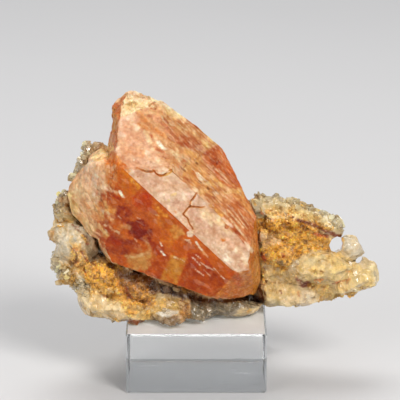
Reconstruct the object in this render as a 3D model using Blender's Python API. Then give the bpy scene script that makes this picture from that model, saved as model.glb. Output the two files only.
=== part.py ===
"""Scheelite on quartz: an orange scheelite crystal grown on iron-stained quartz, on a clear block.

All sizes below are in millimetres. X runs to the right, Y away from the viewer, Z up. The origin
is the centre of the block's underside.
"""

import math
import random

import bmesh
import bpy
from mathutils import Matrix, Vector

MM = 0.001

BLOCK_SIDE = 28.6
BLOCK_HEIGHT = 12.7
BLOCK_BEVEL = 0.35
GAP = 0.3

# Corners of the pale raised band that crosses the front of the scheelite.
BAND_FAR_LEFT = (-13.7, -14.0, 47.6)
BAND_HIGH_LEFT = (-8.2, -13.2, 47.0)
BAND_HIGH_MIDDLE = (-5.0, -12.6, 47.0)
BAND_HIGH_RIGHT = (5.2, -12.4, 36.9)
BAND_RIGHT_TOP = (10.8, -12.4, 30.2)
BAND_RIGHT_LOW = (10.8, -13.0, 26.1)
BAND_LOW_RIGHT = (8.0, -13.6, 25.5)
BAND_LOW_LEFT = (-9.6, -14.0, 42.9)

# The scheelite's faces, each through three points on it. CRYSTAL_CORE lies behind all of them.
CRYSTAL_CORE = (-3.0, -3.0, 36.0)
CRYSTAL_FACES = {
    "raised band": (BAND_LOW_LEFT, BAND_LOW_RIGHT, BAND_HIGH_RIGHT),
    "broad lower face": (BAND_LOW_LEFT, BAND_LOW_RIGHT, (-13.5, -8.5, 24.5)),
    "shoulder": (BAND_FAR_LEFT, BAND_HIGH_LEFT, (-11.7, -5.2, 56.5)),
    "striated face": (BAND_HIGH_MIDDLE, BAND_HIGH_RIGHT, (0.8, -1.5, 53.4)),
    "right shoulder": ((1.8, -5.1, 48.3), (7.0, -7.4, 40.6), (9.5, -1.6, 41.1)),
    "lower striated face": (BAND_HIGH_RIGHT, BAND_RIGHT_TOP, (8.4, -6.2, 40.4)),
    "right side": (BAND_RIGHT_TOP, BAND_RIGHT_LOW, (13.0, -4.5, 24.9)),
    "lower right face": (BAND_RIGHT_LOW, BAND_LOW_RIGHT, (8.9, -9.0, 19.1)),
    "broken top": ((-15.3, -5.0, 56.9), (-6.3, -4.0, 57.4), (-11.4, 1.0, 59.8)),
    "top left side": ((-13.9, -3.0, 58.8), (-16.1, -6.0, 56.1), (-16.4, -0.5, 57.7)),
    "left side": ((-17.4, -2.5, 54.5), (-15.9, -13.1, 49.2), (-19.8, -5.0, 29.8)),
    "lower left side": ((-20.0, -5.5, 30.0), (-17.3, -7.5, 25.9), (-19.5, -3.0, 27.0)),
    "underside": ((-17.3, -8.0, 26.1), (5.2, -9.5, 18.6), (-4.0, 7.0, 20.0)),
    "back right": ((6.3, -0.5, 47.2), (12.8, -4.5, 27.1), (3.0, 8.0, 36.0)),
    "back upper right": ((-6.7, -2.5, 58.5), (4.2, -1.5, 50.4), (-3.0, 8.0, 46.0)),
    "back": ((-8.0, 8.5, 44.0), (2.0, 8.8, 30.0), (-12.0, 7.6, 32.0)),
    "back left": ((-18.3, -1.0, 48.8), (-20.3, -3.0, 29.1), (-13.0, 6.5, 42.0)),
    "back top": ((-16.3, 1.0, 57.7), (-9.4, 2.0, 59.6), (-10.0, 7.0, 52.0)),
}


def from_bmesh(name, shape):
    """A named mesh object from a bmesh in millimetres, which is used up."""
    bmesh.ops.recalc_face_normals(shape, faces=shape.faces[:])
    bmesh.ops.scale(shape, vec=(MM, MM, MM), verts=shape.verts[:])
    mesh = bpy.data.meshes.new(name)
    shape.to_mesh(mesh)
    shape.free()
    made = bpy.data.objects.new(name, mesh)
    bpy.context.scene.collection.objects.link(made)
    return made


def hull(name, points):
    """The convex body around some points."""
    shape = bmesh.new()
    for point in points:
        shape.verts.new(point)
    found = bmesh.ops.convex_hull(shape, input=shape.verts[:])
    inner = set(found["geom_interior"]) | set(found["geom_unused"])
    spare = [piece for piece in inner if isinstance(piece, bmesh.types.BMVert)]
    bmesh.ops.delete(shape, geom=spare, context="VERTS")
    bmesh.ops.dissolve_limit(shape, angle_limit=0.01, verts=shape.verts[:], edges=shape.edges[:])
    return from_bmesh(name, shape)


def cut_by_planes(shape, planes):
    """Keeps the side of each plane that its normal points away from."""
    for point, normal in planes:
        everything = shape.verts[:] + shape.edges[:] + shape.faces[:]
        cut = bmesh.ops.bisect_plane(
            shape, geom=everything, plane_co=point, plane_no=normal, clear_outer=True
        )
        edges = [e for e in cut["geom_cut"] if isinstance(e, bmesh.types.BMEdge)]
        if edges:
            bmesh.ops.contextual_create(shape, geom=edges)


def crystal_planes(grow):
    """The scheelite's faces as points and outward normals, moved out by grow."""
    planes = []
    for a, b, c in CRYSTAL_FACES.values():
        a, b, c = Vector(a), Vector(b), Vector(c)
        normal = (b - a).cross(c - a).normalized()
        if normal.dot(a - Vector(CRYSTAL_CORE)) < 0:
            normal.negate()
        planes.append((a + normal * grow, normal))
    return planes


def main_crystal(name, grow):
    """The scheelite's main crystal, all flat faces."""
    shape = bmesh.new()
    bmesh.ops.create_cube(shape, size=120, matrix=Matrix.Translation(CRYSTAL_CORE))
    cut_by_planes(shape, crystal_planes(grow))
    return from_bmesh(name, shape)

# The lobe grown onto the crystal's left side: outer rim, front and back points.
LOBE_POINTS = (
    (-18.6, -3.0, 49.6),
    (-20.9, -3.0, 48.4),
    (-22.8, -3.0, 45.3),
    (-24.0, -3.5, 42.7),
    (-25.8, -3.5, 41.0),
    (-26.4, -3.5, 39.0),
    (-25.5, -3.0, 34.8),
    (-23.6, -3.0, 33.0),
    (-21.0, -3.0, 31.0),
    (-19.3, -4.0, 29.0),
    (-17.6, -8.0, 48.8),
    (-19.7, -7.5, 48.0),
    (-20.9, -8.2, 45.6),
    (-22.1, -8.2, 42.4),
    (-22.5, -7.6, 39.0),
    (-21.2, -7.4, 35.0),
    (-18.4, -7.6, 31.6),
    (-16.6, -10.4, 40.0),
    (-16.2, -10.0, 45.4),
    (-18.5, 2.0, 44.6),
    (-22.4, 1.5, 39.6),
    (-21.2, 1.5, 34.2),
    (-18.2, 2.0, 30.0),
)

# Growth steps let into the striated face: where each starts and ends going up from the band,
# its ends along the band, and its depth.
STRIATED_STEPS = (
    (2.2, 14.0, 2.0, 26.0, 0.25),
    (4.4, 14.0, -9.0, 12.5, 0.5),
    (6.4, 14.0, 3.5, 26.0, 0.8),
    (8.6, 14.0, -9.0, 8.0, 1.1),
)

# Flakes broken off the crystal's edges and top: centre and reach.
CRYSTAL_FLAKES = (
    ((-2.8, -14.5, 34.8), 1.1),
    ((-1.0, -14.4, 33.4), 0.8),
    ((6.3, -13.0, 35.2), 0.9),
    ((11.3, -12.9, 28.0), 1.0),
    ((-11.6, -14.6, 46.0), 0.8),
    ((-13.0, -4.0, 58.6), 1.2),
    ((-8.5, -3.4, 58.0), 1.3),
    ((-6.0, -1.2, 58.6), 1.4),
    ((-15.4, -4.8, 56.0), 0.9),
    ((2.2, -1.4, 52.4), 1.1),
    ((-2.2, -1.0, 55.6), 1.0),
    ((10.4, -9.4, 19.2), 1.2),
)

# Angular masses of quartz: centre and half sizes. The left boss and lip come first, then the
# bed under and behind the scheelite, then the wing.
QUARTZ_MASSES = (
    ((-24.6, -2.0, 28.6), (4.8, 5.0, 5.6)),
    ((-28.0, -1.0, 25.4), (2.6, 3.6, 3.6)),
    ((-25.2, -2.0, 21.4), (4.2, 5.0, 3.6)),
    ((-20.6, -2.5, 16.4), (4.2, 6.0, 4.4)),
    ((-14.8, -3.0, 15.2), (6.4, 6.6, 3.8)),
    ((-7.5, -2.6, 15.4), (7.4, 6.2, 3.4)),
    ((0.6, -0.6, 15.8), (8.0, 6.4, 3.6)),
    ((8.6, 2.0, 16.4), (6.4, 6.2, 3.8)),
    ((-18.4, -3.4, 21.6), (6.0, 5.0, 4.6)),
    ((-17.0, 5.0, 28.0), (7.0, 6.0, 9.5)),
    ((-9.0, 8.0, 24.0), (8.4, 6.4, 9.5)),
    ((0.0, 8.4, 24.0), (8.4, 6.2, 8.6)),
    ((8.4, 6.4, 24.6), (7.2, 6.0, 8.6)),
    ((-9.0, 8.6, 34.0), (7.0, 4.6, 7.0)),
    ((1.0, 7.6, 33.0), (7.0, 4.6, 6.0)),
    ((13.8, 1.6, 32.4), (5.4, 5.2, 5.2)),
    ((19.4, 1.4, 31.2), (6.2, 4.6, 5.4)),
    ((24.8, 1.4, 29.0), (6.0, 4.2, 5.0)),
    ((28.8, 1.0, 30.4), (3.4, 3.0, 3.0)),
    ((15.2, 0.8, 24.4), (6.2, 5.6, 6.6)),
    ((21.6, 0.6, 23.4), (7.0, 5.0, 6.4)),
    ((28.0, 0.2, 21.6), (6.0, 4.2, 4.6)),
    ((33.0, 0.0, 20.6), (4.6, 3.4, 3.6)),
    ((36.2, 0.0, 20.2), (2.2, 2.4, 3.0)),
    ((32.4, 0.2, 26.0), (2.5, 2.2, 2.9)),
    ((19.4, 0.6, 17.4), (6.2, 5.0, 3.2)),
    ((25.4, 0.4, 17.6), (6.0, 4.0, 2.6)),
    ((13.6, 1.4, 18.4), (5.2, 6.0, 4.8)),
    ((-22.0, 2.4, 38.0), (4.2, 3.8, 8.0)),
    ((-26.0, 0.4, 34.4), (2.6, 3.4, 4.2)),
    ((-19.4, 2.4, 43.6), (3.2, 3.2, 5.4)),
    ((-11.0, -3.0, 19.4), (8.0, 5.0, 3.6)),
    ((-2.0, -2.0, 17.4), (7.0, 5.0, 3.0)),
    ((6.0, -1.0, 17.0), (6.0, 5.4, 2.6)),
    ((8.0, -1.4, 15.4), (6.4, 6.4, 3.4)),
    ((1.0, 4.0, 16.4), (9.0, 8.0, 4.4)),
    ((-10.0, 4.0, 17.0), (9.0, 8.0, 4.8)),
    ((9.0, 6.0, 17.4), (6.6, 7.0, 4.6)),
)

# Single crystals: foot, direction, width, length.
QUARTZ_CRYSTALS = (
    ((-27.2, -2.0, 34.6), (-0.1, -0.1, 1.0), 2.8, 5.2),
    ((-23.2, 1.0, 43.4), (-0.1, 0.0, 1.0), 2.6, 3.6),
    ((-21.2, 0.8, 46.0), (-0.5, 0.0, 0.8), 2.6, 3.4),
    ((-19.0, 1.2, 46.8), (-0.6, -0.1, 0.7), 2.4, 3.2),
    ((-24.8, 0.6, 40.0), (-0.4, -0.1, 0.8), 2.4, 3.0),
    ((-26.0, -3.0, 30.0), (-0.9, -0.3, 0.2), 4.4, 5.4),
    ((-27.0, -3.4, 23.8), (-0.8, -0.6, 0.1), 3.0, 4.6),
    ((-26.6, -2.4, 20.8), (-0.8, -0.3, -0.5), 2.6, 4.0),
    ((22.6, -2.4, 22.8), (0.96, -0.22, 0.16), 6.4, 9.6),
    ((30.6, -1.2, 25.8), (0.55, -0.3, 0.55), 4.4, 4.6),
    ((33.4, -1.0, 20.4), (0.95, -0.1, -0.05), 4.6, 4.6),
    ((12.6, -2.4, 34.0), (-0.2, -0.4, 0.9), 2.6, 5.2),
    ((13.0, -2.6, 30.0), (0.1, -0.9, 0.3), 3.2, 4.2),
    ((-12.0, -6.4, 15.0), (-0.2, -0.9, -0.1), 4.6, 4.0),
)

# Rows of crystals: from, to, number, direction, least and most width.
QUARTZ_ROWS = (
    ((12.0, 0.0, 35.6), (25.0, 0.6, 32.6), 14, (0.1, -0.25, 1.0), 1.8, 3.2),
    ((24.6, -0.4, 31.6), (29.4, 0.2, 30.0), 6, (0.4, -0.4, 0.8), 1.6, 2.6),
    ((14.0, -3.0, 34.0), (28.0, -2.2, 30.6), 10, (0.0, -0.9, 0.5), 1.6, 2.8),
    ((15.0, 0.0, 16.4), (34.0, 0.4, 18.6), 13, (0.1, -0.3, -1.0), 1.5, 2.4),
    ((-27.0, -1.6, 34.0), (-29.0, -1.6, 24.0), 9, (-0.7, -0.6, 0.3), 1.6, 2.8),
    ((-27.0, -2.6, 21.8), (-22.6, -4.0, 15.4), 7, (-0.6, -0.7, -0.3), 1.6, 2.8),
    ((-22.0, -6.4, 15.4), (-2.0, -6.8, 14.6), 9, (0.0, -0.9, 0.1), 1.8, 3.0),
    ((-26.0, -5.6, 28.0), (-15.0, -7.0, 20.0), 9, (-0.2, -0.9, 0.3), 1.4, 2.6),
    ((13.6, -4.0, 27.0), (30.0, -3.4, 20.0), 10, (0.0, -0.9, 0.3), 1.2, 2.4),
    ((-20.0, 9.0, 24.0), (12.0, 11.0, 22.0), 12, (0.0, 1.0, 0.3), 2.6, 4.6),
    ((-18.0, 8.0, 36.0), (8.0, 9.0, 36.0), 9, (0.0, 0.8, 0.8), 2.4, 4.2),
    ((12.0, 5.0, 28.0), (32.0, 3.0, 22.0), 9, (0.1, 1.0, 0.3), 2.0, 3.8),
)

# Two openings right through the wing: centre, width, height, lean.
WING_HOLES = (
    ((29.6, 0.0, 27.2), 2.9, 3.6, 20),
    ((33.6, 0.0, 23.4), 1.5, 1.5, 0),
)
HOLE_SLOPE = 0.315
HOLE_REACH = 14.0

LOBE_SEAT_SCALE = 1.09
STEP_TOP = 2.0
STEP_LEAN = 0.35
TURN_PER_POINT = math.radians(137.5)

chance = random.Random(5)


def lobe(name, scale):
    """The lobe, made larger or smaller about its middle."""
    middle = sum((Vector(p) for p in LOBE_POINTS), Vector()) / len(LOBE_POINTS)
    return hull(name, [middle + (Vector(p) - middle) * scale for p in LOBE_POINTS])


def boulder(name, centre, half, count=20):
    """An angular lump: the hull of points spread over an ellipsoid."""
    points = []
    for index in range(count):
        z = 1 - 2 * (index + 0.5) / count
        flat = (1 - z * z) ** 0.5
        turn = TURN_PER_POINT * index + chance.uniform(-0.3, 0.3)
        reach = chance.uniform(0.9, 1.06)
        unit = Vector((flat * math.cos(turn), flat * math.sin(turn), z)) * reach
        points.append([c + h * u for c, h, u in zip(centre, half, unit)])
    return hull(name, points)


def crystal(name, foot, direction, width, length):
    """A six-sided crystal with a pointed end, its base sunk half its width below its foot."""
    foot, axis = Vector(foot), Vector(direction).normalized()
    across = axis.orthogonal().normalized()
    across.rotate(Matrix.Rotation(chance.uniform(0, math.pi / 3), 3, axis))
    along = axis.cross(across)
    tip = width * 0.5
    body = max(length - tip, width * 0.4)
    points = []
    for index in range(6):
        angle = math.pi * index / 3
        side = width / 2 * chance.uniform(0.86, 1.08)
        spoke = across * math.cos(angle) * side + along * math.sin(angle) * side
        points += [foot - axis * width * 0.5 + spoke, foot + axis * body + spoke]
    slant = across * chance.uniform(-0.15, 0.15) + along * chance.uniform(-0.15, 0.15)
    points.append(foot + axis * length + slant * width)
    return hull(name, points)


def combine(name, base, others, operation):
    """The base joined with, or cut by, the others, as one new object. All of them are used up."""
    group = bpy.data.collections.new(name + "_group")
    for other in others:
        group.objects.link(other)
    step = base.modifiers.new(operation, "BOOLEAN")
    step.operation = operation
    step.operand_type = "COLLECTION"
    step.collection = group
    step.solver = "EXACT"
    step.use_self = operation == "UNION"
    bpy.context.view_layer.update()
    graph = bpy.context.evaluated_depsgraph_get()
    mesh = bpy.data.meshes.new_from_object(base.evaluated_get(graph))
    mesh.name = name
    for spent in [base, *others]:
        bpy.data.objects.remove(spent)
    bpy.data.collections.remove(group)
    made = bpy.data.objects.new(name, mesh)
    bpy.context.scene.collection.objects.link(made)
    return made


def keep_largest(target):
    """Drops loose crumbs that the cuts left, and splits the faces into triangles."""
    shape = bmesh.new()
    shape.from_mesh(target.data)
    waiting = set(shape.verts)
    islands = []
    while waiting:
        island, edge = set(), [waiting.pop()]
        while edge:
            vert = edge.pop()
            island.add(vert)
            near = {e.other_vert(vert) for e in vert.link_edges} & waiting
            waiting -= near
            edge += near
        islands.append(island)
    islands.sort(key=len)
    spare = [vert for island in islands[:-1] for vert in island]
    bmesh.ops.delete(shape, geom=spare, context="VERTS")
    bmesh.ops.triangulate(shape, faces=shape.faces[:])
    shape.to_mesh(target.data)
    shape.free()


def step_cutters():
    """Bars that let the growth steps into the striated face."""
    start, end = Vector(BAND_HIGH_MIDDLE), Vector(BAND_HIGH_RIGHT)
    a, b, c = (Vector(p) for p in CRYSTAL_FACES["striated face"])
    out = (b - a).cross(c - a).normalized()
    if out.y > 0:
        out.negate()
    along = (end - start).normalized()
    across = out.cross(along)
    if across.z < 0:
        across.negate()
    bars = []
    for low, high, left, right, depth in STRIATED_STEPS:
        corners = []
        for s in (low, high):
            for t in (left, right):
                for d in (-depth, STEP_TOP):
                    lean = STEP_LEAN * d
                    corners.append(start + across * (s + lean) + along * (t + lean) + out * d)
        bars.append(hull("step", corners))
    return bars


def scheelite():
    """The main crystal and its lobe grown together, with growth steps and broken edges."""
    body = combine("scheelite_crystal", main_crystal("main", 0), [lobe("lobe", 1)], "UNION")
    flakes = [boulder("flake", at, (reach, reach, reach), 12) for at, reach in CRYSTAL_FLAKES]
    body = combine("scheelite_crystal", body, step_cutters() + flakes, "DIFFERENCE")
    keep_largest(body)
    return body


def block(name, grow):
    """The clear block, or the room it takes up when grown."""
    half = BLOCK_SIDE / 2 + grow
    shape = bmesh.new()
    height = BLOCK_HEIGHT + grow
    bmesh.ops.create_cube(
        shape, size=1, matrix=Matrix.Diagonal((2 * half, 2 * half, height, 1))
    )
    bmesh.ops.translate(shape, verts=shape.verts[:], vec=(0, 0, height / 2))
    if grow == 0:
        bmesh.ops.bevel(
            shape, geom=shape.edges[:], offset=BLOCK_BEVEL, segments=1, affect="EDGES"
        )
    return from_bmesh(name, shape)


def hole_cutter(centre, width, height, lean):
    """An eight-sided bar through the wing, sloping down to the back."""
    points = []
    for index in range(8):
        angle = math.pi * (index + 0.5) / 4
        u, v = width / 2 * math.cos(angle), height / 2 * math.sin(angle)
        turn = math.radians(lean)
        x = u * math.cos(turn) + v * math.sin(turn)
        z = v * math.cos(turn) - u * math.sin(turn)
        for y in (-HOLE_REACH, HOLE_REACH):
            points.append((centre[0] + x, y, centre[2] + z - HOLE_SLOPE * y))
    return hull("hole", points)


def quartz():
    """The quartz the scheelite grew on, as one body with a seat for the scheelite."""
    pieces = [boulder("mass", centre, half) for centre, half in QUARTZ_MASSES]
    pieces += [crystal("crystal", *values) for values in QUARTZ_CRYSTALS]
    for start, end, count, direction, least, most in QUARTZ_ROWS:
        start, end = Vector(start), Vector(end)
        for index in range(count):
            place = start.lerp(end, (index + chance.uniform(0.2, 0.8)) / count)
            place += Vector([chance.uniform(-0.8, 0.8) for _ in range(3)])
            way = Vector(direction) + Vector([chance.uniform(-0.45, 0.45) for _ in range(3)])
            width = chance.uniform(least, most)
            length = width * chance.uniform(0.75, 1.25)
            pieces.append(crystal("crystal", place, way, width, length))
    body = combine("quartz_matrix", pieces[0], pieces[1:], "UNION")
    cutters = [main_crystal("seat", GAP), lobe("seat_lobe", LOBE_SEAT_SCALE), block("seat_block", GAP)]
    cutters += [hole_cutter(*values) for values in WING_HOLES]
    for cutter in cutters:
        body = combine("quartz_matrix", body, [cutter], "DIFFERENCE")
    keep_largest(body)
    return body


def material(name, colour, roughness, transmission=0.0, index=1.5):
    """A plain material with the piece's main colour."""
    made = bpy.data.materials.new(name)
    made.use_nodes = True
    shader = made.node_tree.nodes["Principled BSDF"]
    shader.inputs["Base Color"].default_value = (*colour, 1.0)
    shader.inputs["Roughness"].default_value = roughness
    shader.inputs["Transmission Weight"].default_value = transmission
    shader.inputs["IOR"].default_value = index
    return made


def main():
    """Clears the scene and builds the three bodies."""
    bpy.context.scene.unit_settings.system = "METRIC"
    for old in list(bpy.data.objects):
        bpy.data.objects.remove(old)
    finishes = {
        "scheelite_crystal": material("scheelite", (0.62, 0.24, 0.08), 0.25, 0.0, 1.92),
        "quartz_matrix": material("quartz", (0.68, 0.52, 0.34), 0.45),
        "display_block": material("clear_acrylic", (0.95, 0.97, 0.98), 0.03, 1.0, 1.49),
    }
    for body in (scheelite(), quartz(), block("display_block", 0)):
        body.data.materials.clear()
        body.data.materials.append(finishes[body.name])


main()
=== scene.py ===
"""Dresses the scheelite on quartz: growth steps, cracks, drusy crystals, iron stain and finishes.

The solids of the frame carry the shapes. This script splits their surfaces finely, cuts relief
into them, lays small crystals and grains over the quartz, and gives every surface its finish.
Lengths are in millimetres until a mesh is made.
"""

from __future__ import annotations

import logging
import math
from dataclasses import dataclass
from enum import Enum
from typing import Callable

import bpy
import numpy as np
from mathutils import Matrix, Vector
from numpy.typing import NDArray


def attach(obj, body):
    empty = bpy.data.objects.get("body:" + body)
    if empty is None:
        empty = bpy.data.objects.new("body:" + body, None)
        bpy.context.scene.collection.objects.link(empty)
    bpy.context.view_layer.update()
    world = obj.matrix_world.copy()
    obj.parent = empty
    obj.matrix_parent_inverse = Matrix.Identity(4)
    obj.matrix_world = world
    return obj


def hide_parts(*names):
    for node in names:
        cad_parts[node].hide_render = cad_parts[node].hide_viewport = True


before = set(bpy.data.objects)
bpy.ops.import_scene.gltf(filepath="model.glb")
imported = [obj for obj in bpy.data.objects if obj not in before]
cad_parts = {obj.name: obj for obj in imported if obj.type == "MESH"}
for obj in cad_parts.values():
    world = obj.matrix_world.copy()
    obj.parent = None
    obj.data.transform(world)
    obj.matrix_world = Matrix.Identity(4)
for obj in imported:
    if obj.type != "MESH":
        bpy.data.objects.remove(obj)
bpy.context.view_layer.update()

MM = 0.001
LOG = logging.getLogger("scheelite")

Floats = NDArray[np.float64]
Rgb = tuple[float, float, float]
Point = tuple[float, float, float]
Spot = tuple[float, float]

# A distance beyond every reach, in millimetres.
FAR = 99.0
# More points than a surface may have.
MOST_POINTS = 10_000_000
# Steps so large that the sine of a number from 0 to 1 times each is as good as random.
SCRAMBLE = np.array([917.0, 1543.0, 2371.0])

# Colours as they are seen, each channel from 0 to 255.
CREAM: Rgb = (238, 212, 178)
CREAM_PINK: Rgb = (243, 214, 186)
PEACH_CREAM: Rgb = (238, 198, 158)
BUTTER: Rgb = (234, 198, 140)
PALE: Rgb = (242, 212, 192)
BLUSH: Rgb = (230, 190, 170)
ROSE: Rgb = (222, 184, 166)
PINK: Rgb = (226, 160, 132)
PINKISH: Rgb = (224, 172, 146)
MAUVE: Rgb = (204, 146, 130)
PEACH: Rgb = (226, 160, 118)
SHELL: Rgb = (228, 200, 168)
TAN: Rgb = (206, 150, 96)
TAN_GLASS: Rgb = (202, 144, 80)
TERRACOTTA: Rgb = (202, 120, 70)
HONEY: Rgb = (218, 154, 84)
HONEY_GLOW: Rgb = (234, 170, 62)
GOLD: Rgb = (198, 130, 50)
GOLD_TAN: Rgb = (212, 144, 70)
GOLD_GLASS: Rgb = (202, 130, 44)
GOLD_AMBER: Rgb = (204, 116, 30)
AMBER: Rgb = (200, 104, 34)
ORANGE: Rgb = (206, 92, 16)
ORANGE_GOLD: Rgb = (208, 112, 28)
ORANGE_BROWN: Rgb = (190, 88, 34)
RED_ORANGE: Rgb = (192, 64, 10)
HOT_RED: Rgb = (186, 44, 2)
HOT_BROWN: Rgb = (164, 46, 8)
DARK_ORANGE: Rgb = (150, 42, 8)
BRICK: Rgb = (170, 80, 46)
BRICK_GLOW: Rgb = (168, 62, 16)
BRICK_DARK: Rgb = (138, 44, 18)
RUST: Rgb = (152, 58, 28)
DEEP_RED: Rgb = (124, 24, 6)
BROWN: Rgb = (112, 58, 28)
# GLINT is for painted highlights: small white glints where chips, edges and facets catch the light.
GLINT: Rgb = (255, 246, 234)
CRACK_BROWN: Rgb = (192, 108, 48)
OCHRE: Rgb = (236, 176, 66)
OCHRE_BRIGHT: Rgb = (250, 192, 72)
OCHRE_PALE: Rgb = (226, 178, 96)
GOLD_BROWN: Rgb = (152, 100, 38)
UMBER: Rgb = (96, 52, 18)
OXBLOOD: Rgb = (110, 42, 14)
# Near-black of the dark crust under the crystal, also used as painted shadow in the hollow under its
# overhang.
DARK_CRUST_AND_SHADE: Rgb = (48, 28, 14)
STRAW: Rgb = (228, 206, 150)
STRAW_GOLD: Rgb = (212, 178, 106)
STRAW_TAN: Rgb = (214, 186, 126)
STRAW_GREY: Rgb = (182, 168, 134)
PALE_STRAW: Rgb = (230, 222, 192)
MILKY: Rgb = (200, 197, 192)
MILKY_STRAW: Rgb = (208, 196, 162)
CREAM_QUARTZ: Rgb = (230, 208, 166)
PALE_CREAM: Rgb = (244, 232, 206)
TAN_QUARTZ: Rgb = (178, 136, 84)
TAN_QUARTZ_PALE: Rgb = (208, 178, 130)
ROSE_QUARTZ: Rgb = (216, 188, 160)
PALE_ROSE: Rgb = (228, 214, 196)
# Pale grey of clear quartz, also used for painted highlights: white glints on clear crystals and on the
# quartz below the crystal.
PALE_GREY_AND_GLINT: Rgb = (224, 226, 228)
GREY: Rgb = (170, 164, 158)
GREY_WARM: Rgb = (178, 168, 146)
SMOKE: Rgb = (114, 106, 92)
SMOKE_LIGHT: Rgb = (146, 138, 124)
SMOKY_BROWN: Rgb = (128, 106, 80)
SMOKY_TAN: Rgb = (168, 140, 108)
QUARTZ_PLAIN: Rgb = (212, 194, 162)
DRUSY_WHITE: Rgb = (236, 232, 222)


class Face(Enum):
    """The scheelite's kinds of face, each with its own colour and relief; the band's and shoulder's colours
    carry painted sheen, and the lower face's colour carries painted shade.
    """

    BAND = 0
    LOWER = 1
    SHOULDER = 2
    STRIATED = 3
    FLANK = 4
    CORNER = 5
    TOP = 6
    SIDE = 7
    LOBE = 8
    BACK = 9


@dataclass(frozen=True)
class Streak:
    """A soft-edged patch of colour along a line, on the side that the front view sees.

    Attributes:
        colour: The colour.
        reach: How far the colour spreads from the line.
        strength: How much of the colour shows at the line, from 0 to 1.
        spots: The line's points, in millimetres right of and above the middle of the view.
        face: The one face that takes it, or none for all of them.
    """

    colour: Rgb
    reach: float
    strength: float
    spots: tuple[Spot, ...]
    face: Face | None = None

    def margin(self) -> float:
        """How far outside its points the mark may show."""
        return 2.6 * self.reach + 0.2

    def weight(self, places: Floats, ragged: Floats) -> Floats:
        """How much of the colour each place takes.

        Args:
            places: Places in the view.
            ragged: Noise that moves the edge at each.

        Returns:
            Shares from 0 to 1.
        """
        near = np.full(len(places), FAR)
        for start, end in zip(self.spots[:-1], self.spots[1:]):
            near = np.minimum(near, off_line(places, start, end))
        return smooth((self.reach * (1 + ragged) - near) / (0.7 * self.reach) + 0.35)


@dataclass(frozen=True)
class Patch:
    """A patch of colour inside an outline, on the side that the front view sees.

    Attributes:
        colour: The colour.
        blur: Width of its edge.
        strength: How much of the colour shows, from 0 to 1.
        spots: The outline, in millimetres right of and above the middle of the view.
        face: The one face that takes it, or none for all of them.
    """

    colour: Rgb
    blur: float
    strength: float
    spots: tuple[Spot, ...]
    face: Face | None = None

    def margin(self) -> float:
        """How far outside its points the mark may show."""
        return 2 * self.blur + 0.2

    def weight(self, places: Floats, ragged: Floats) -> Floats:
        """How much of the colour each place takes.

        Args:
            places: Places in the view.
            ragged: Noise that moves the edge at each.

        Returns:
            Shares from 0 to 1.
        """
        near = np.full(len(places), FAR)
        inside = np.zeros(len(places), bool)
        for start, end in zip(self.spots, self.spots[1:] + self.spots[:1]):
            near = np.minimum(near, off_line(places, start, end))
            (x1, y1), (x2, y2) = start, end
            crosses = (places[:, 1] < y1) != (places[:, 1] < y2)
            reached = (places[:, 1] - y1) * (x2 - x1) / ((y2 - y1) or 1e-9) + x1
            inside ^= crosses & (places[:, 0] < reached)
        depth = np.where(inside, near, -near)
        return smooth((depth + 1.2 * self.blur * ragged) / self.blur + 0.5)


# A streak in a table: its colour, reach and strength, its points, and its face if it has one.
Row = tuple[Rgb | float | Spot | Face, ...]


def marks(*rows: Row | Patch) -> tuple[Streak | Patch, ...]:
    """Reads a table of marks, in the order that they go on.

    Args:
        rows: Patches, and a Row for each streak.

    Returns:
        The marks.
    """
    made: list[Streak | Patch] = []
    for row in rows:
        if isinstance(row, Patch):
            made.append(row)
            continue
        face = row[-1] if isinstance(row[-1], Face) else None
        made.append(Streak(*row[:3], row[3:-1] if face else row[3:], face))
    return tuple(made)


def dots(colour: Rgb, reach: float, strength: float, step: Spot, *spots: Spot) -> tuple[Row, ...]:
    """Rows for short streaks that are alike in all but place.

    Args:
        colour: Their colour.
        reach: How far it spreads.
        strength: How much of it shows, from 0 to 1.
        step: From the start of each to its end.
        spots: Where they start.

    Returns:
        A Row for each.
    """
    ends = [(round(x + step[0], 1), round(y + step[1], 1)) for x, y in spots]
    return tuple((colour, reach, strength, start, end) for start, end in zip(spots, ends))


def off_line(places: Floats, start: Spot, end: Spot) -> Floats:
    """How far each place is from a straight piece of line.

    Args:
        places: Places in the view.
        start: One end of the line.
        end: The other end.

    Returns:
        Distances in millimetres.
    """
    along = np.subtract(end, start)
    share = np.clip((places - start) @ along / max(along @ along, 1e-9), 0, 1)
    apart = places - start - share[:, None] * along
    return np.sqrt(apart[:, 0] ** 2 + apart[:, 1] ** 2)


def linear(colour: Rgb | Floats) -> Floats:
    """Turns a seen colour from 0 to 255 into the amounts of light a shader takes."""
    share = np.asarray(colour, float) / 255
    return np.where(share <= 0.04045, share / 12.92, ((share + 0.055) / 1.055) ** 2.4)


def smooth(values: Floats) -> Floats:
    """An S-shaped rise from 0 to 1, flat outside."""
    held = np.clip(values, 0, 1)
    return held * held * (3 - 2 * held)


@dataclass(frozen=True)
class Cells:
    """The irregular cells that some points fall in.

    Attributes:
        owner: A number from 0 to 1 that belongs to the cell.
        offset: From the cell's middle to the point, in widths of a cell.
    """

    owner: Floats
    offset: Floats

    def tilt(self) -> Floats:
        """Height over a plane tipped its own way in each cell, from about -0.6 to 0.6."""
        slopes = np.sin(self.owner[:, None] * SCRAMBLE)
        return (slopes * self.offset).sum(axis=1)


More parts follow.
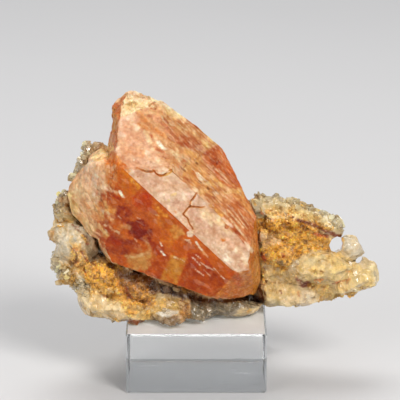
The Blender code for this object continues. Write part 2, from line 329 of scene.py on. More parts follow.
@dataclass(frozen=True)
class Grain:
    """Seeded noise over points in space.

    Attributes:
        seed: Start of the random numbers.
    """

    seed: int

    def hashed(self, cells: NDArray[np.int64], salt: int = 0) -> Floats:
        """A random number for each whole-number cell.

        Args:
            cells: The cells, each three whole numbers.
            salt: Tells one set of numbers from another.

        Returns:
            Numbers from 0 to 1.
        """
        # Large odd factors and shifts mix the bits of the three numbers.
        mixed = cells[..., 0] * 374761393 + cells[..., 1] * 668265263
        mixed = mixed + cells[..., 2] * 1274126177 + (self.seed * 31 + salt) * 144269504
        mixed = (mixed ^ (mixed >> 13)) * 1103515245
        mixed = (mixed ^ (mixed >> 17)) * 69069
        return ((mixed ^ (mixed >> 11)) & 0xFFFFF) / float(0xFFFFF)

    def value(self, points: Floats, size: float) -> Floats:
        """Smooth noise with lumps of one size.

        Args:
            points: Where it is wanted.
            size: Width of a lump.

        Returns:
            Numbers from -1 to 1.
        """
        place = points / size
        cell = np.floor(place).astype(np.int64)
        part = smooth(place - cell)
        total = np.zeros(len(points))
        for corner in range(8):
            step = np.array([corner & 1, corner >> 1 & 1, corner >> 2 & 1])
            share = np.where(step, part, 1 - part).prod(axis=1)
            total += share * self.hashed(cell + step)
        return total * 2 - 1

    def fractal(self, points: Floats, size: float, octaves: int = 4) -> Floats:
        """Noise of several sizes laid over each other.

        Args:
            points: Where it is wanted.
            size: Width of the largest lumps.
            octaves: How many sizes, each half the last.

        Returns:
            Numbers from about -1 to 1.
        """
        total, height = np.zeros(len(points)), 1.0
        for octave in range(octaves):
            total += height * self.value(points + octave * 7.3, size / 2**octave)
            height *= 0.55
        return total / 1.6

    def cells(self, points: Floats, size: float) -> Cells:
        """Splits space into irregular cells.

        Args:
            points: Where it is wanted.
            size: About the width of a cell.

        Returns:
            The cell that each point falls in.
        """
        place = points / size
        cell = np.floor(place).astype(np.int64)
        near = np.full(len(points), FAR)
        owner = np.zeros(len(points))
        offset = np.zeros((len(points), 3))
        for index in range(27):
            other = cell + np.array([index % 3 - 1, index // 3 % 3 - 1, index // 9 - 1])
            jitter = np.stack([self.hashed(other, salt) for salt in (1, 2, 3)], axis=1)
            apart = place - other - jitter
            away = np.sqrt((apart**2).sum(axis=1))
            closer = away < near
            owner = np.where(closer, self.hashed(other, 4), owner)
            offset = np.where(closer[:, None], apart, offset)
            near = np.where(closer, away, near)
        return Cells(owner, offset)


@dataclass(frozen=True)
class Outlook:
    """Where the object is looked at from, fitted to the edges of the clear block.

    Attributes:
        eye: The camera's place.
        tilt: How far the camera looks down, in degrees.
        lens: Focal length for a 36 mm wide sensor.
        reach: Distance at which one millimetre of a Streak is one millimetre.
    """

    eye: Point = (0.759, -497.77, 193.72)
    tilt: float = 17.5
    lens: float = 229.23
    reach: float = 509.4

    def ahead(self) -> Floats:
        """The direction that the camera looks in."""
        slope = math.radians(self.tilt)
        return np.array([0.0, math.cos(slope), -math.sin(slope)])

    def rise(self) -> Floats:
        """The direction that is up in the view."""
        slope = math.radians(self.tilt)
        return np.array([0.0, math.sin(slope), math.cos(slope)])

    def seen(self, points: Floats) -> Floats:
        """Where points are in the view.

        Args:
            points: Points in space.

        Returns:
            For each, millimetres right of and above the middle.
        """
        away = points - np.array(self.eye)
        scale = self.reach / (away @ self.ahead())
        return np.stack([away[:, 0] * scale, (away @ self.rise()) * scale], axis=1)


OUTLOOK = Outlook()


@dataclass
class Surface:
    """A closed surface of triangles, in millimetres.

    Attributes:
        points: Its corners.
        faces: For each triangle, the numbers of its corners.
    """

    points: Floats
    faces: NDArray[np.int64]

    @classmethod
    def of_node(cls, name: str) -> Surface:
        """The surface of a solid of the frame, with its corners joined.

        Args:
            name: The node that holds the solid.

        Returns:
            Its surface.
        """
        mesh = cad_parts[name].data
        mesh.calc_loop_triangles()
        raw = np.array([v.co for v in mesh.vertices]) / MM
        corners = np.array([t.vertices for t in mesh.loop_triangles])
        _, first, index = np.unique(
            np.round(raw, 3), axis=0, return_index=True, return_inverse=True
        )
        faces = index.reshape(-1)[corners]
        whole = (faces[:, 0] != faces[:, 1]) & (faces[:, 1] != faces[:, 2])
        whole &= faces[:, 0] != faces[:, 2]
        return cls(raw[first], faces[whole])

    def crosses(self) -> Floats:
        """For each triangle, a vector along its normal, twice as long as its area."""
        a, b, c = (self.points[self.faces[:, k]] for k in range(3))
        return np.cross(b - a, c - a)

    def face_normals(self) -> Floats:
        """The unit normal of each triangle."""
        crosses = self.crosses()
        return crosses / np.maximum(np.linalg.norm(crosses, axis=1), 1e-9)[:, None]

    def normals(self) -> tuple[Floats, Floats]:
        """Finds how the surface lies at its points.

        Returns:
            Unit normals, and how sharply the surface bends at each point, from 0 to 1.
        """
        crosses = self.crosses()
        areas = np.linalg.norm(crosses, axis=1)
        total = np.zeros_like(self.points)
        weight = np.zeros(len(self.points))
        for k in range(3):
            np.add.at(total, self.faces[:, k], crosses)
            np.add.at(weight, self.faces[:, k], areas)
        length = np.linalg.norm(total, axis=1)
        bend = 1 - length / np.maximum(weight, 1e-9)
        return total / np.maximum(length, 1e-9)[:, None], np.clip(bend, 0, 1)

    def refine(self, limit: Callable[[Floats], Floats], rounds: int = 30) -> None:
        """Halves the longest sides of the triangles until none is over the limit.

        Args:
            limit: Gives the longest side allowed at each place.
            rounds: The most passes over the surface.
        """
        for _ in range(rounds):
            sides = self.faces[:, [[0, 1], [1, 2], [2, 0]]]
            ends = np.sort(sides.reshape(-1, 2), axis=1)
            keys, index = np.unique(ends[:, 0] * MOST_POINTS + ends[:, 1], return_inverse=True)
            edges = np.stack([keys // MOST_POINTS, keys % MOST_POINTS], axis=1)
            index = index.reshape(-1, 3)
            middle = self.points[edges].mean(axis=1)
            span = np.linalg.norm(self.points[edges[:, 0]] - self.points[edges[:, 1]], axis=1)
            over = (span / limit(middle))[index]
            pick = (over >= over.max(axis=1, keepdims=True) * 0.9999) & (over > 1)
            if not pick.any():
                return
            chosen = np.zeros(len(edges), bool)
            chosen[index[pick]] = True
            number = np.full(len(edges), -1)
            number[chosen] = len(self.points) + np.arange(chosen.sum())
            self.points = np.vstack([self.points, middle[chosen]])
            self.faces = self._split(number[index])

    def relax(self, share: Floats, rounds: int) -> None:
        """Evens the surface out.

        Args:
            share: How far each point goes to the middle of its neighbours in a round.
            rounds: How many times.
        """
        ends = self.faces[:, [0, 1, 1, 2, 2, 0]].reshape(-1, 2)
        ends = ends[(share > 0.005)[ends[:, 0]]]
        size = len(self.points)
        count = np.maximum(np.bincount(ends[:, 0], minlength=size), 1)
        for _ in range(rounds):
            sums = [np.bincount(ends[:, 0], self.points[ends[:, 1], k], size) for k in range(3)]
            middle = np.stack(sums, axis=1) / count[:, None]
            self.points += np.where(share > 0.005, share, 0)[:, None] * (middle - self.points)

    def _split(self, cuts: NDArray[np.int64]) -> NDArray[np.int64]:
        """Splits each triangle where its sides are cut.

        Args:
            cuts: For each side, the number of the point that cuts it, or -1 if none does.

        Returns:
            The new triangles.
        """
        faces = self.faces
        for _ in range(2):
            count = (cuts >= 0).sum(axis=1)
            turn = ((count == 1) & (cuts[:, 0] < 0)) | ((count == 2) & (cuts[:, 2] >= 0))
            faces = np.where(turn[:, None], np.roll(faces, -1, axis=1), faces)
            cuts = np.where(turn[:, None], np.roll(cuts, -1, axis=1), cuts)
        count = (cuts >= 0).sum(axis=1)
        (a, b, c), (m, n, o) = faces.T, cuts.T
        patterns = {
            0: ((a, b, c),),
            1: ((a, m, c), (m, b, c)),
            2: ((m, b, n), (a, m, n), (a, n, c)),
            3: ((a, m, o), (m, b, n), (o, n, c), (m, n, o)),
        }
        parts = []
        for cut, triangles in patterns.items():
            rows = count == cut
            parts += [np.stack(corner, axis=1)[rows] for corner in triangles]
        return np.concatenate(parts)


def painted(
    surface: Surface,
    base: Floats,
    marks: tuple[Streak | Patch, ...],
    grain: Grain,
    zones: NDArray[np.int64] | None = None,
    raggedness: float = 0.5,
) -> Floats:
    """Lays marks of colour over a base colour, with ragged edges.

    Args:
        surface: The surface to paint, where the front view sees it.
        base: Its colours so far as seen, one for each corner of each triangle.
        marks: The marks, in the order that they go on.
        grain: Noise for the edges.
        zones: The number of the Face that each corner lies on.
        raggedness: How far the noise moves an edge, as a share of a mark's softness.

    Returns:
        The colours, as seen.
    """
    centres = surface.points[surface.faces].mean(axis=1)
    toward = ((np.array(OUTLOOK.eye) - centres) * surface.face_normals()).sum(axis=1)
    facing = np.flatnonzero(np.repeat(toward > 0, 3))
    corners = surface.faces.ravel()[facing]
    places = OUTLOOK.seen(surface.points)[corners]
    ragged = grain.fractal(surface.points, 1.6, 3) + 0.8 * grain.fractal(surface.points + 31, 0.6, 3)
    ragged = raggedness * ragged[corners]
    worn = smooth(0.7 + 1.7 * grain.fractal(surface.points + 77, 0.9, 4))[corners]
    colours = base.copy()
    for mark in marks:
        spots = np.array(mark.spots)
        low, high = spots.min(axis=0) - mark.margin(), spots.max(axis=0) + mark.margin()
        near = ((places > low) & (places < high)).all(axis=1)
        if mark.face is not None and zones is not None:
            near &= zones[facing] == mark.face.value
        near = np.flatnonzero(near)
        weight = mark.strength * mark.weight(places[near], ragged[near])
        if mark.margin() > 0.6:
            weight *= 0.4 + 0.6 * worn[near]
        rows = facing[near]
        colours[rows] += weight[:, None] * (np.array(mark.colour) - colours[rows])
    return colours


def mesh_object(
    name: str,
    surface: Surface,
    colours: Floats,
    look: Floats,
    material: bpy.types.Material,
    sharp: float,
    exposure: Rgb = (1.0, 1.0, 1.0),
) -> bpy.types.Object:
    """Makes a mesh object that carries its colours and the look of its surface.

    Args:
        name: The object's name.
        surface: Its shape.
        colours: Colours as seen, one for each corner of each triangle.
        look: For each corner, its roughness, how lined it is and how flaky it is, from 0 to 1.
        material: Its material.
        sharp: Edges bent by more than this many degrees stay sharp.
        exposure: Factors on red, green and blue that make up for the studio's light and gloss.

    Returns:
        The new object, riding on the frame.
    """
    mesh = bpy.data.meshes.new(name)
    mesh.vertices.add(len(surface.points))
    mesh.vertices.foreach_set("co", (surface.points * MM).astype(np.float32).ravel())
    mesh.loops.add(surface.faces.size)
    mesh.loops.foreach_set("vertex_index", surface.faces.astype(np.int32).ravel())
    mesh.polygons.add(len(surface.faces))
    mesh.polygons.foreach_set("loop_start", np.arange(0, surface.faces.size, 3, dtype=np.int32))
    mesh.update(calc_edges=True)
    mesh.validate()
    for layer, values in (("tint", linear(colours) * exposure), ("look", look)):
        shown = np.ones((surface.faces.size, 4), np.float32)
        shown[:, :3] = values
        carried = mesh.attributes.new(layer, "FLOAT_COLOR", "CORNER")
        carried.data.foreach_set("color", shown.ravel())
    mesh.set_sharp_from_angle(angle=math.radians(sharp))
    mesh.materials.append(material)
    made = bpy.data.objects.new(name, mesh)
    bpy.context.scene.collection.objects.link(made)
    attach(made, "root")
    LOG.info("%s: %d triangles", name, len(surface.faces))
    return made


class Shader:
    """Builds a material's node tree around its Principled shader."""

    def __init__(self, name: str) -> None:
        """Starts a material.

        Args:
            name: Its name.
        """
        self.material = bpy.data.materials.new(name)
        self.material.use_nodes = True
        self.tree = self.material.node_tree
        self.surface = self.tree.nodes["Principled BSDF"]

    def node(self, kind: str, **values: object) -> bpy.types.Node:
        """Adds a node.

        Args:
            kind: The kind of node.
            values: Its properties and inputs, by name.

        Returns:
            The node.
        """
        made = self.tree.nodes.new(kind)
        for key, value in values.items():
            name = key.replace("_", " ").title()
            if hasattr(made, key):
                setattr(made, key, value)
            else:
                made.inputs[name].default_value = value
        return made

    def link(self, start: bpy.types.NodeSocket, end: bpy.types.NodeSocket) -> None:
        """Joins two sockets."""
        self.tree.links.new(start, end)

    def constants(self, **values: object) -> None:
        """Sets inputs of the Principled shader.

        Args:
            values: Their values, by name.
        """
        for key, value in values.items():
            name = key.replace("_", " ").title().replace("Ior", "IOR")
            self.surface.inputs[name].default_value = value


class Effect:
    """Builds a shared group of shader nodes."""

    def __init__(self, name: str, takes: dict[str, str], gives: dict[str, str]) -> None:
        """Starts a group.

        Args:
            name: Its name.
            takes: The kind of socket of each input.
            gives: The kind of socket of each output.
        """
        self.tree = bpy.data.node_groups.new(name, "ShaderNodeTree")
        for way, sockets in (("INPUT", takes), ("OUTPUT", gives)):
            for label, kind in sockets.items():
                self.tree.interface.new_socket(label, in_out=way, socket_type=f"NodeSocket{kind}")
        self.entry = self.tree.nodes.new("NodeGroupInput").outputs
        self.leave = self.tree.nodes.new("NodeGroupOutput").inputs

    def node(self, kind: str, joined: dict[str | int, object], **values: object) -> bpy.types.Node:
        """Adds a node.

        Args:
            kind: The kind of node.
            joined: For each input, the socket or the value that it takes.
            values: The node's own settings.

        Returns:
            The node.
        """
        made = self.tree.nodes.new(kind)
        for key, value in values.items():
            setattr(made, key, value)
        for key, value in joined.items():
            if isinstance(value, bpy.types.NodeSocket):
                self.tree.links.new(value, made.inputs[key])
            else:
                made.inputs[key].default_value = value
        return made

    def blend(
        self, share: bpy.types.NodeSocket, first: bpy.types.NodeSocket, second: Rgb
    ) -> bpy.types.NodeSocket:
        """Mixes a colour into another.

        Args:
            share: How much of the second shows.
            first: The first colour.
            second: The second, as seen.

        Returns:
            The mixed colour.
        """
        over = (*linear(second), 1.0)
        made = self.node("ShaderNodeMix", {0: share, 6: first, 7: over}, data_type="RGBA")
        return made.outputs[2]

    def maths(self, operation: str, *inputs: object) -> bpy.types.NodeSocket:
        """One step of arithmetic."""
        joined = dict(enumerate(inputs))
        return self.node("ShaderNodeMath", joined, operation=operation).outputs[0]

    def between(self, value: bpy.types.NodeSocket, low: float, high: float) -> bpy.types.NodeSocket:
        """Rises from 0 at the low value to 1 at the high one."""
        joined = {"Value": value, "From Min": low, "From Max": high}
        return self.node("ShaderNodeMapRange", joined).outputs["Result"]


def mineral_effect() -> bpy.types.NodeTree:
    """The shared grain of every mineral: specks, growth lines, bright or dark flakes, brown veins, and
    painted sparkle in cream flakes and pale lines.

    Returns:
        The group of nodes.
    """
    effect = Effect(
        "mineral grain",
        {"Tint": "Color", "Look": "Color", "Scale": "Float", "Amount": "Float", "Veins and sparkle": "Float"},
        {"Colour": "Color", "Roughness": "Float", "Height": "Float"},
    )
    place = effect.node("ShaderNodeTexCoord", {}).outputs["Object"]
    look = effect.node("ShaderNodeSeparateColor", {"Color": effect.entry["Look"]}).outputs
    turned, less_turned = (
        effect.node(
            "ShaderNodeMapping",
            {"Vector": place, "Rotation": (0.0, math.radians(45), 0.0), "Scale": scale},
            vector_type="TEXTURE",
        ).outputs["Vector"]
        for scale in ((6.0, 1.0, 1.0), (2.2, 1.0, 1.0))
    )
    specks = effect.node(
        "ShaderNodeTexNoise",
        {"Vector": place, "Scale": effect.entry["Scale"], "Detail": 6.0, "Roughness": 0.7},
    ).outputs["Fac"]
    lines = effect.node(
        "ShaderNodeTexNoise", {"Vector": turned, "Scale": 2600.0, "Detail": 5.0, "Roughness": 0.62}
    ).outputs["Fac"]
    flake_scale = effect.maths("MULTIPLY", effect.entry["Scale"], 0.42)
    flakes = effect.node("ShaderNodeTexVoronoi", {"Vector": less_turned, "Scale": flake_scale}).outputs
    chance = effect.node("ShaderNodeSeparateColor", {"Color": flakes["Color"]}).outputs
    light = effect.maths("MULTIPLY", effect.between(lines, 0.54, 0.66), look["Green"])
    dark = effect.maths("MULTIPLY", effect.between(lines, 0.44, 0.33), look["Green"])
    # Bright flakes: painted sparkle, cream specks where tiny facets would catch the light.
    bright = effect.maths("MULTIPLY", effect.between(chance["Red"], 0.9, 0.93), look["Blue"])
    colour = effect.blend(effect.maths("MULTIPLY", light, 0.6), effect.entry["Tint"], CREAM)
    colour = effect.blend(effect.maths("MULTIPLY", dark, 0.6), colour, RUST)
    glint = effect.maths("MULTIPLY_ADD", effect.entry["Veins and sparkle"], 0.6, 0.25)
    colour = effect.blend(effect.maths("MULTIPLY", bright, glint), colour, CREAM)
    vein_and_sparkle_scale = effect.maths("MULTIPLY", effect.entry["Scale"], 0.26)
    # Brown vein lines, then pale lines of painted sparkle.
    for shift, tint in ((0.0, BROWN), (0.4, GLINT)):
        moved = effect.node(
            "ShaderNodeVectorMath", {0: place, 1: (shift, shift, shift)}, operation="ADD"
        ).outputs["Vector"]
        cloud = effect.node(
            "ShaderNodeTexNoise", {"Vector": moved, "Scale": vein_and_sparkle_scale, "Detail": 5.0}
        ).outputs["Fac"]
        near = effect.maths("ABSOLUTE", effect.maths("SUBTRACT", cloud, 0.5))
        vein_and_sparkle = effect.maths("MULTIPLY", effect.between(near, 0.022, 0.004), effect.entry["Veins and sparkle"])
        colour = effect.blend(vein_and_sparkle, colour, tint)
    spread = effect.maths("SUBTRACT", specks, 0.5)
    patchy = effect.maths("SUBTRACT", chance["Green"], 0.5)
    patchy = effect.maths("MULTIPLY", effect.maths("MULTIPLY", patchy, look["Blue"]), 0.3)
    share = effect.maths("MULTIPLY_ADD", spread, effect.entry["Amount"], 1.0)
    share = effect.maths("ADD", share, patchy)
    shown = effect.node("ShaderNodeVectorMath", {0: colour, "Scale": share}, operation="SCALE")
    rough = effect.maths("MULTIPLY_ADD", spread, 0.5, look["Red"])
    rough = effect.maths("MULTIPLY_ADD", light, 0.12, rough)
    apart = effect.node(
        "ShaderNodeVectorMath", {0: less_turned, 1: flakes["Position"]}, operation="SUBTRACT"
    ).outputs["Vector"]
    slopes = effect.node(
        "ShaderNodeVectorMath", {0: flakes["Color"], 1: (0.5, 0.5, 0.5)}, operation="SUBTRACT"
    ).outputs["Vector"]
    tilt = effect.node("ShaderNodeVectorMath", {0: apart, 1: slopes}, operation="DOT_PRODUCT")
    tilt = effect.maths("MULTIPLY", tilt.outputs["Value"], effect.entry["Scale"])
    tilt = effect.maths("MULTIPLY", tilt, look["Blue"])
    height = effect.maths("MULTIPLY", effect.maths("MULTIPLY", lines, look["Green"]), 3.0)
    height = effect.maths("MULTIPLY_ADD", specks, 0.3, height)
    height = effect.maths("MULTIPLY_ADD", tilt, 7.0, height)
    effect.tree.links.new(shown.outputs["Vector"], effect.leave["Colour"])
    effect.tree.links.new(rough, effect.leave["Roughness"])
    effect.tree.links.new(height, effect.leave["Height"])
    return effect.tree


@dataclass(frozen=True)
class MineralFinish:
    """A mineral surface whose colour and look the mesh carries.

    Attributes:
        name: The material's name.
        speckle_scale: Specks to the metre.
        speckle: How far the specks lighten and darken the colour.
        bump: Height of the fine relief, in millimetres.
        coat: Strength of the clear gloss over the surface.
        shine: Strength of the plain reflection.
        veins_and_sparkle: Strength of the fine brown vein lines, and of the painted sparkle: the pale lines
            and the bright cream flakes.
        glow: Share of the light that spreads below the surface.
        glow_reach: How far it spreads, in millimetres, for red, green and blue.
        index: Refractive index.
        clear: Share of the light that passes through.
    """

    name: str
    speckle_scale: float
    speckle: float
    bump: float
    coat: float
    shine: float
    veins_and_sparkle: float
    glow: float
    glow_reach: Rgb
    index: float
    clear: float = 0.0

    def build(self, group: bpy.types.NodeTree) -> bpy.types.Material:
        """Makes the material.

        Args:
            group: The shared mineral effect.

        Returns:
            The material.
        """
        shader = Shader(self.name)
        grain = shader.node("ShaderNodeGroup")
        grain.node_tree = group
        grain.inputs["Scale"].default_value = self.speckle_scale
        grain.inputs["Amount"].default_value = self.speckle
        grain.inputs["Veins and sparkle"].default_value = self.veins_and_sparkle
        for layer, socket in (("tint", "Tint"), ("look", "Look")):
            carried = shader.node("ShaderNodeAttribute", attribute_name=layer)
            shader.link(carried.outputs["Color"], grain.inputs[socket])
        shader.link(grain.outputs["Colour"], shader.surface.inputs["Base Color"])
        shader.link(grain.outputs["Roughness"], shader.surface.inputs["Roughness"])
        bump = shader.node("ShaderNodeBump", strength=1.0, distance=self.bump * MM)
        shader.link(grain.outputs["Height"], bump.inputs["Height"])
        shader.link(bump.outputs["Normal"], shader.surface.inputs["Normal"])
        shader.constants(coat_weight=self.coat, coat_roughness=0.08, ior=self.index)
        shader.constants(subsurface_weight=self.glow, subsurface_scale=MM)
        shader.constants(subsurface_radius=self.glow_reach, specular_ior_level=self.shine)
        shader.constants(transmission_weight=self.clear)
        return shader.material


@dataclass(frozen=True)
class AcrylicFinish:
    """Acrylic with a few hairline scratches.

    Attributes:
        name: The material's name.
        roughness: How frosted it is.
        clear: Share of the light that passes through.
        colour: The tint of the light that passes, or of the frost.
        index: Refractive index.
        scratch: Depth of the scratches, in millimetres.
    """

    name: str
    roughness: float
    clear: float
    colour: Rgb = (0.97, 0.985, 0.99)
    index: float = 1.49
    scratch: float = 0.02

    def build(self) -> bpy.types.Material:
        """Makes the material.

        Returns:
            The material.
        """
        shader = Shader(self.name)
        place = shader.node("ShaderNodeTexCoord")
        stretch = shader.node("ShaderNodeMapping")
        stretch.inputs["Rotation"].default_value = (0.3, 0.5, 0.9)
        stretch.inputs["Scale"].default_value = (90.0, 900.0, 500.0)
        noise = shader.node("ShaderNodeTexNoise", scale=1.0, detail=2.0)
        ridge = shader.node("ShaderNodeValToRGB")
        ridge.color_ramp.elements[0].position = 0.66
        ridge.color_ramp.elements[1].position = 0.70
        bump = shader.node("ShaderNodeBump", strength=0.2, distance=self.scratch * MM)
        shader.link(place.outputs["Object"], stretch.inputs["Vector"])
        shader.link(stretch.outputs["Vector"], noise.inputs["Vector"])
        shader.link(noise.outputs["Fac"], ridge.inputs["Fac"])
        shader.link(ridge.outputs["Color"], bump.inputs["Height"])
        shader.link(bump.outputs["Normal"], shader.surface.inputs["Normal"])
        shader.constants(base_color=(*self.colour, 1.0), roughness=self.roughness)
        shader.constants(transmission_weight=self.clear, ior=self.index)
        return shader.material


CLEAR_ACRYLIC = AcrylicFinish("clear acrylic", 0.015, 1.0)
FROSTED_ACRYLIC = AcrylicFinish("frosted acrylic", 0.4, 0.3, (0.95, 0.96, 0.95))
SCUFFED_ACRYLIC = AcrylicFinish("scuffed acrylic", 0.25, 0.8, (0.9, 0.93, 0.94), scratch=0.15)


@dataclass(frozen=True)
class FloorFinish:
    """Plain pale paper with a faint mottle.

    Attributes:
        name: The material's name.
        colour: Its colour.
    """

    name: str = "pale floor"
    colour: Rgb = (0.62, 0.62, 0.63)

    def build(self) -> bpy.types.Material:
        """Makes the material.

        Returns:
            The material.
        """
        shader = Shader(self.name)
        place = shader.node("ShaderNodeTexCoord")
        noise = shader.node("ShaderNodeTexNoise", scale=9.0, detail=3.0)
        mix = shader.node("ShaderNodeMix", data_type="RGBA")
        mix.inputs["A"].default_value = (*self.colour, 1.0)
        mix.inputs["B"].default_value = (*[c * 0.97 for c in self.colour], 1.0)
        shader.link(place.outputs["Object"], noise.inputs["Vector"])
        shader.link(noise.outputs["Fac"], mix.inputs["Factor"])
        shader.link(mix.outputs["Result"], shader.surface.inputs["Base Color"])
        shader.constants(roughness=0.75)
        return shader.material


# Corners of the pale raised band that crosses the front of the scheelite.
BAND_FAR_LEFT: Point = (-13.7, -14.0, 47.6)
BAND_HIGH_LEFT: Point = (-8.2, -13.2, 47.0)
BAND_HIGH_MIDDLE: Point = (-5.0, -12.6, 47.0)
BAND_HIGH_RIGHT: Point = (5.2, -12.4, 36.9)
BAND_RIGHT_TOP: Point = (10.8, -12.4, 30.2)
BAND_RIGHT_LOW: Point = (10.8, -13.0, 26.1)
BAND_LOW_RIGHT: Point = (8.0, -13.6, 25.5)
BAND_LOW_LEFT: Point = (-9.6, -14.0, 42.9)

# The front faces of the scheelite: kind, and three points on each.
CRYSTAL_FACES: tuple[tuple[Face, Point, Point, Point], ...] = (
    (Face.BAND, BAND_LOW_LEFT, BAND_LOW_RIGHT, BAND_HIGH_RIGHT),
    (Face.LOWER, BAND_LOW_LEFT, BAND_LOW_RIGHT, (-13.5, -8.5, 24.5)),
    (Face.SHOULDER, BAND_FAR_LEFT, BAND_HIGH_LEFT, (-11.7, -5.2, 56.5)),
    (Face.STRIATED, BAND_HIGH_MIDDLE, BAND_HIGH_RIGHT, (0.8, -1.5, 53.4)),
    (Face.FLANK, (1.8, -5.1, 48.3), (7.0, -7.4, 40.6), (9.5, -1.6, 41.1)),
    (Face.FLANK, BAND_HIGH_RIGHT, BAND_RIGHT_TOP, (8.4, -6.2, 40.4)),
    (Face.CORNER, BAND_RIGHT_TOP, BAND_RIGHT_LOW, (13.0, -4.5, 24.9)),
    (Face.CORNER, BAND_RIGHT_LOW, BAND_LOW_RIGHT, (8.9, -9.0, 19.1)),
    (Face.TOP, (-15.3, -5.0, 56.9), (-6.3, -4.0, 57.4), (-11.4, 1.0, 59.8)),
    (Face.SIDE, (-13.9, -3.0, 58.8), (-16.1, -6.0, 56.1), (-16.4, -0.5, 57.7)),
    (Face.SIDE, (-17.4, -2.5, 54.5), (-15.9, -13.1, 49.2), (-19.8, -5.0, 29.8)),
)
# A point well inside the scheelite.
CRYSTAL_MIDDLE: Point = (-3.0, -3.0, 36.0)
# A triangle belongs to a face that it lies along at least this much, as a cosine...
LEAST_ALIKE = 0.94
# ...and from which it is less than this far, in millimetres.
FARTHEST_OFF = 1.6
# Each face's colour as seen, with light painted in: the band and shoulder paler as painted sheen, the lower
# face darker partly as painted shade and partly from looking into the crystal, over the crystal's own
# orange.
FACE_COLOURS_AND_LIGHT: dict[Face, Rgb] = {
    Face.BAND: (224, 180, 158),
    Face.LOWER: (196, 88, 22),
    Face.SHOULDER: (220, 158, 126),
    Face.STRIATED: (204, 130, 84),
    Face.FLANK: (196, 104, 56),
    Face.CORNER: (204, 116, 42),
    Face.TOP: (232, 204, 168),
    Face.SIDE: (190, 108, 62),
    Face.LOBE: (238, 184, 142),
    Face.BACK: (196, 112, 62),
}
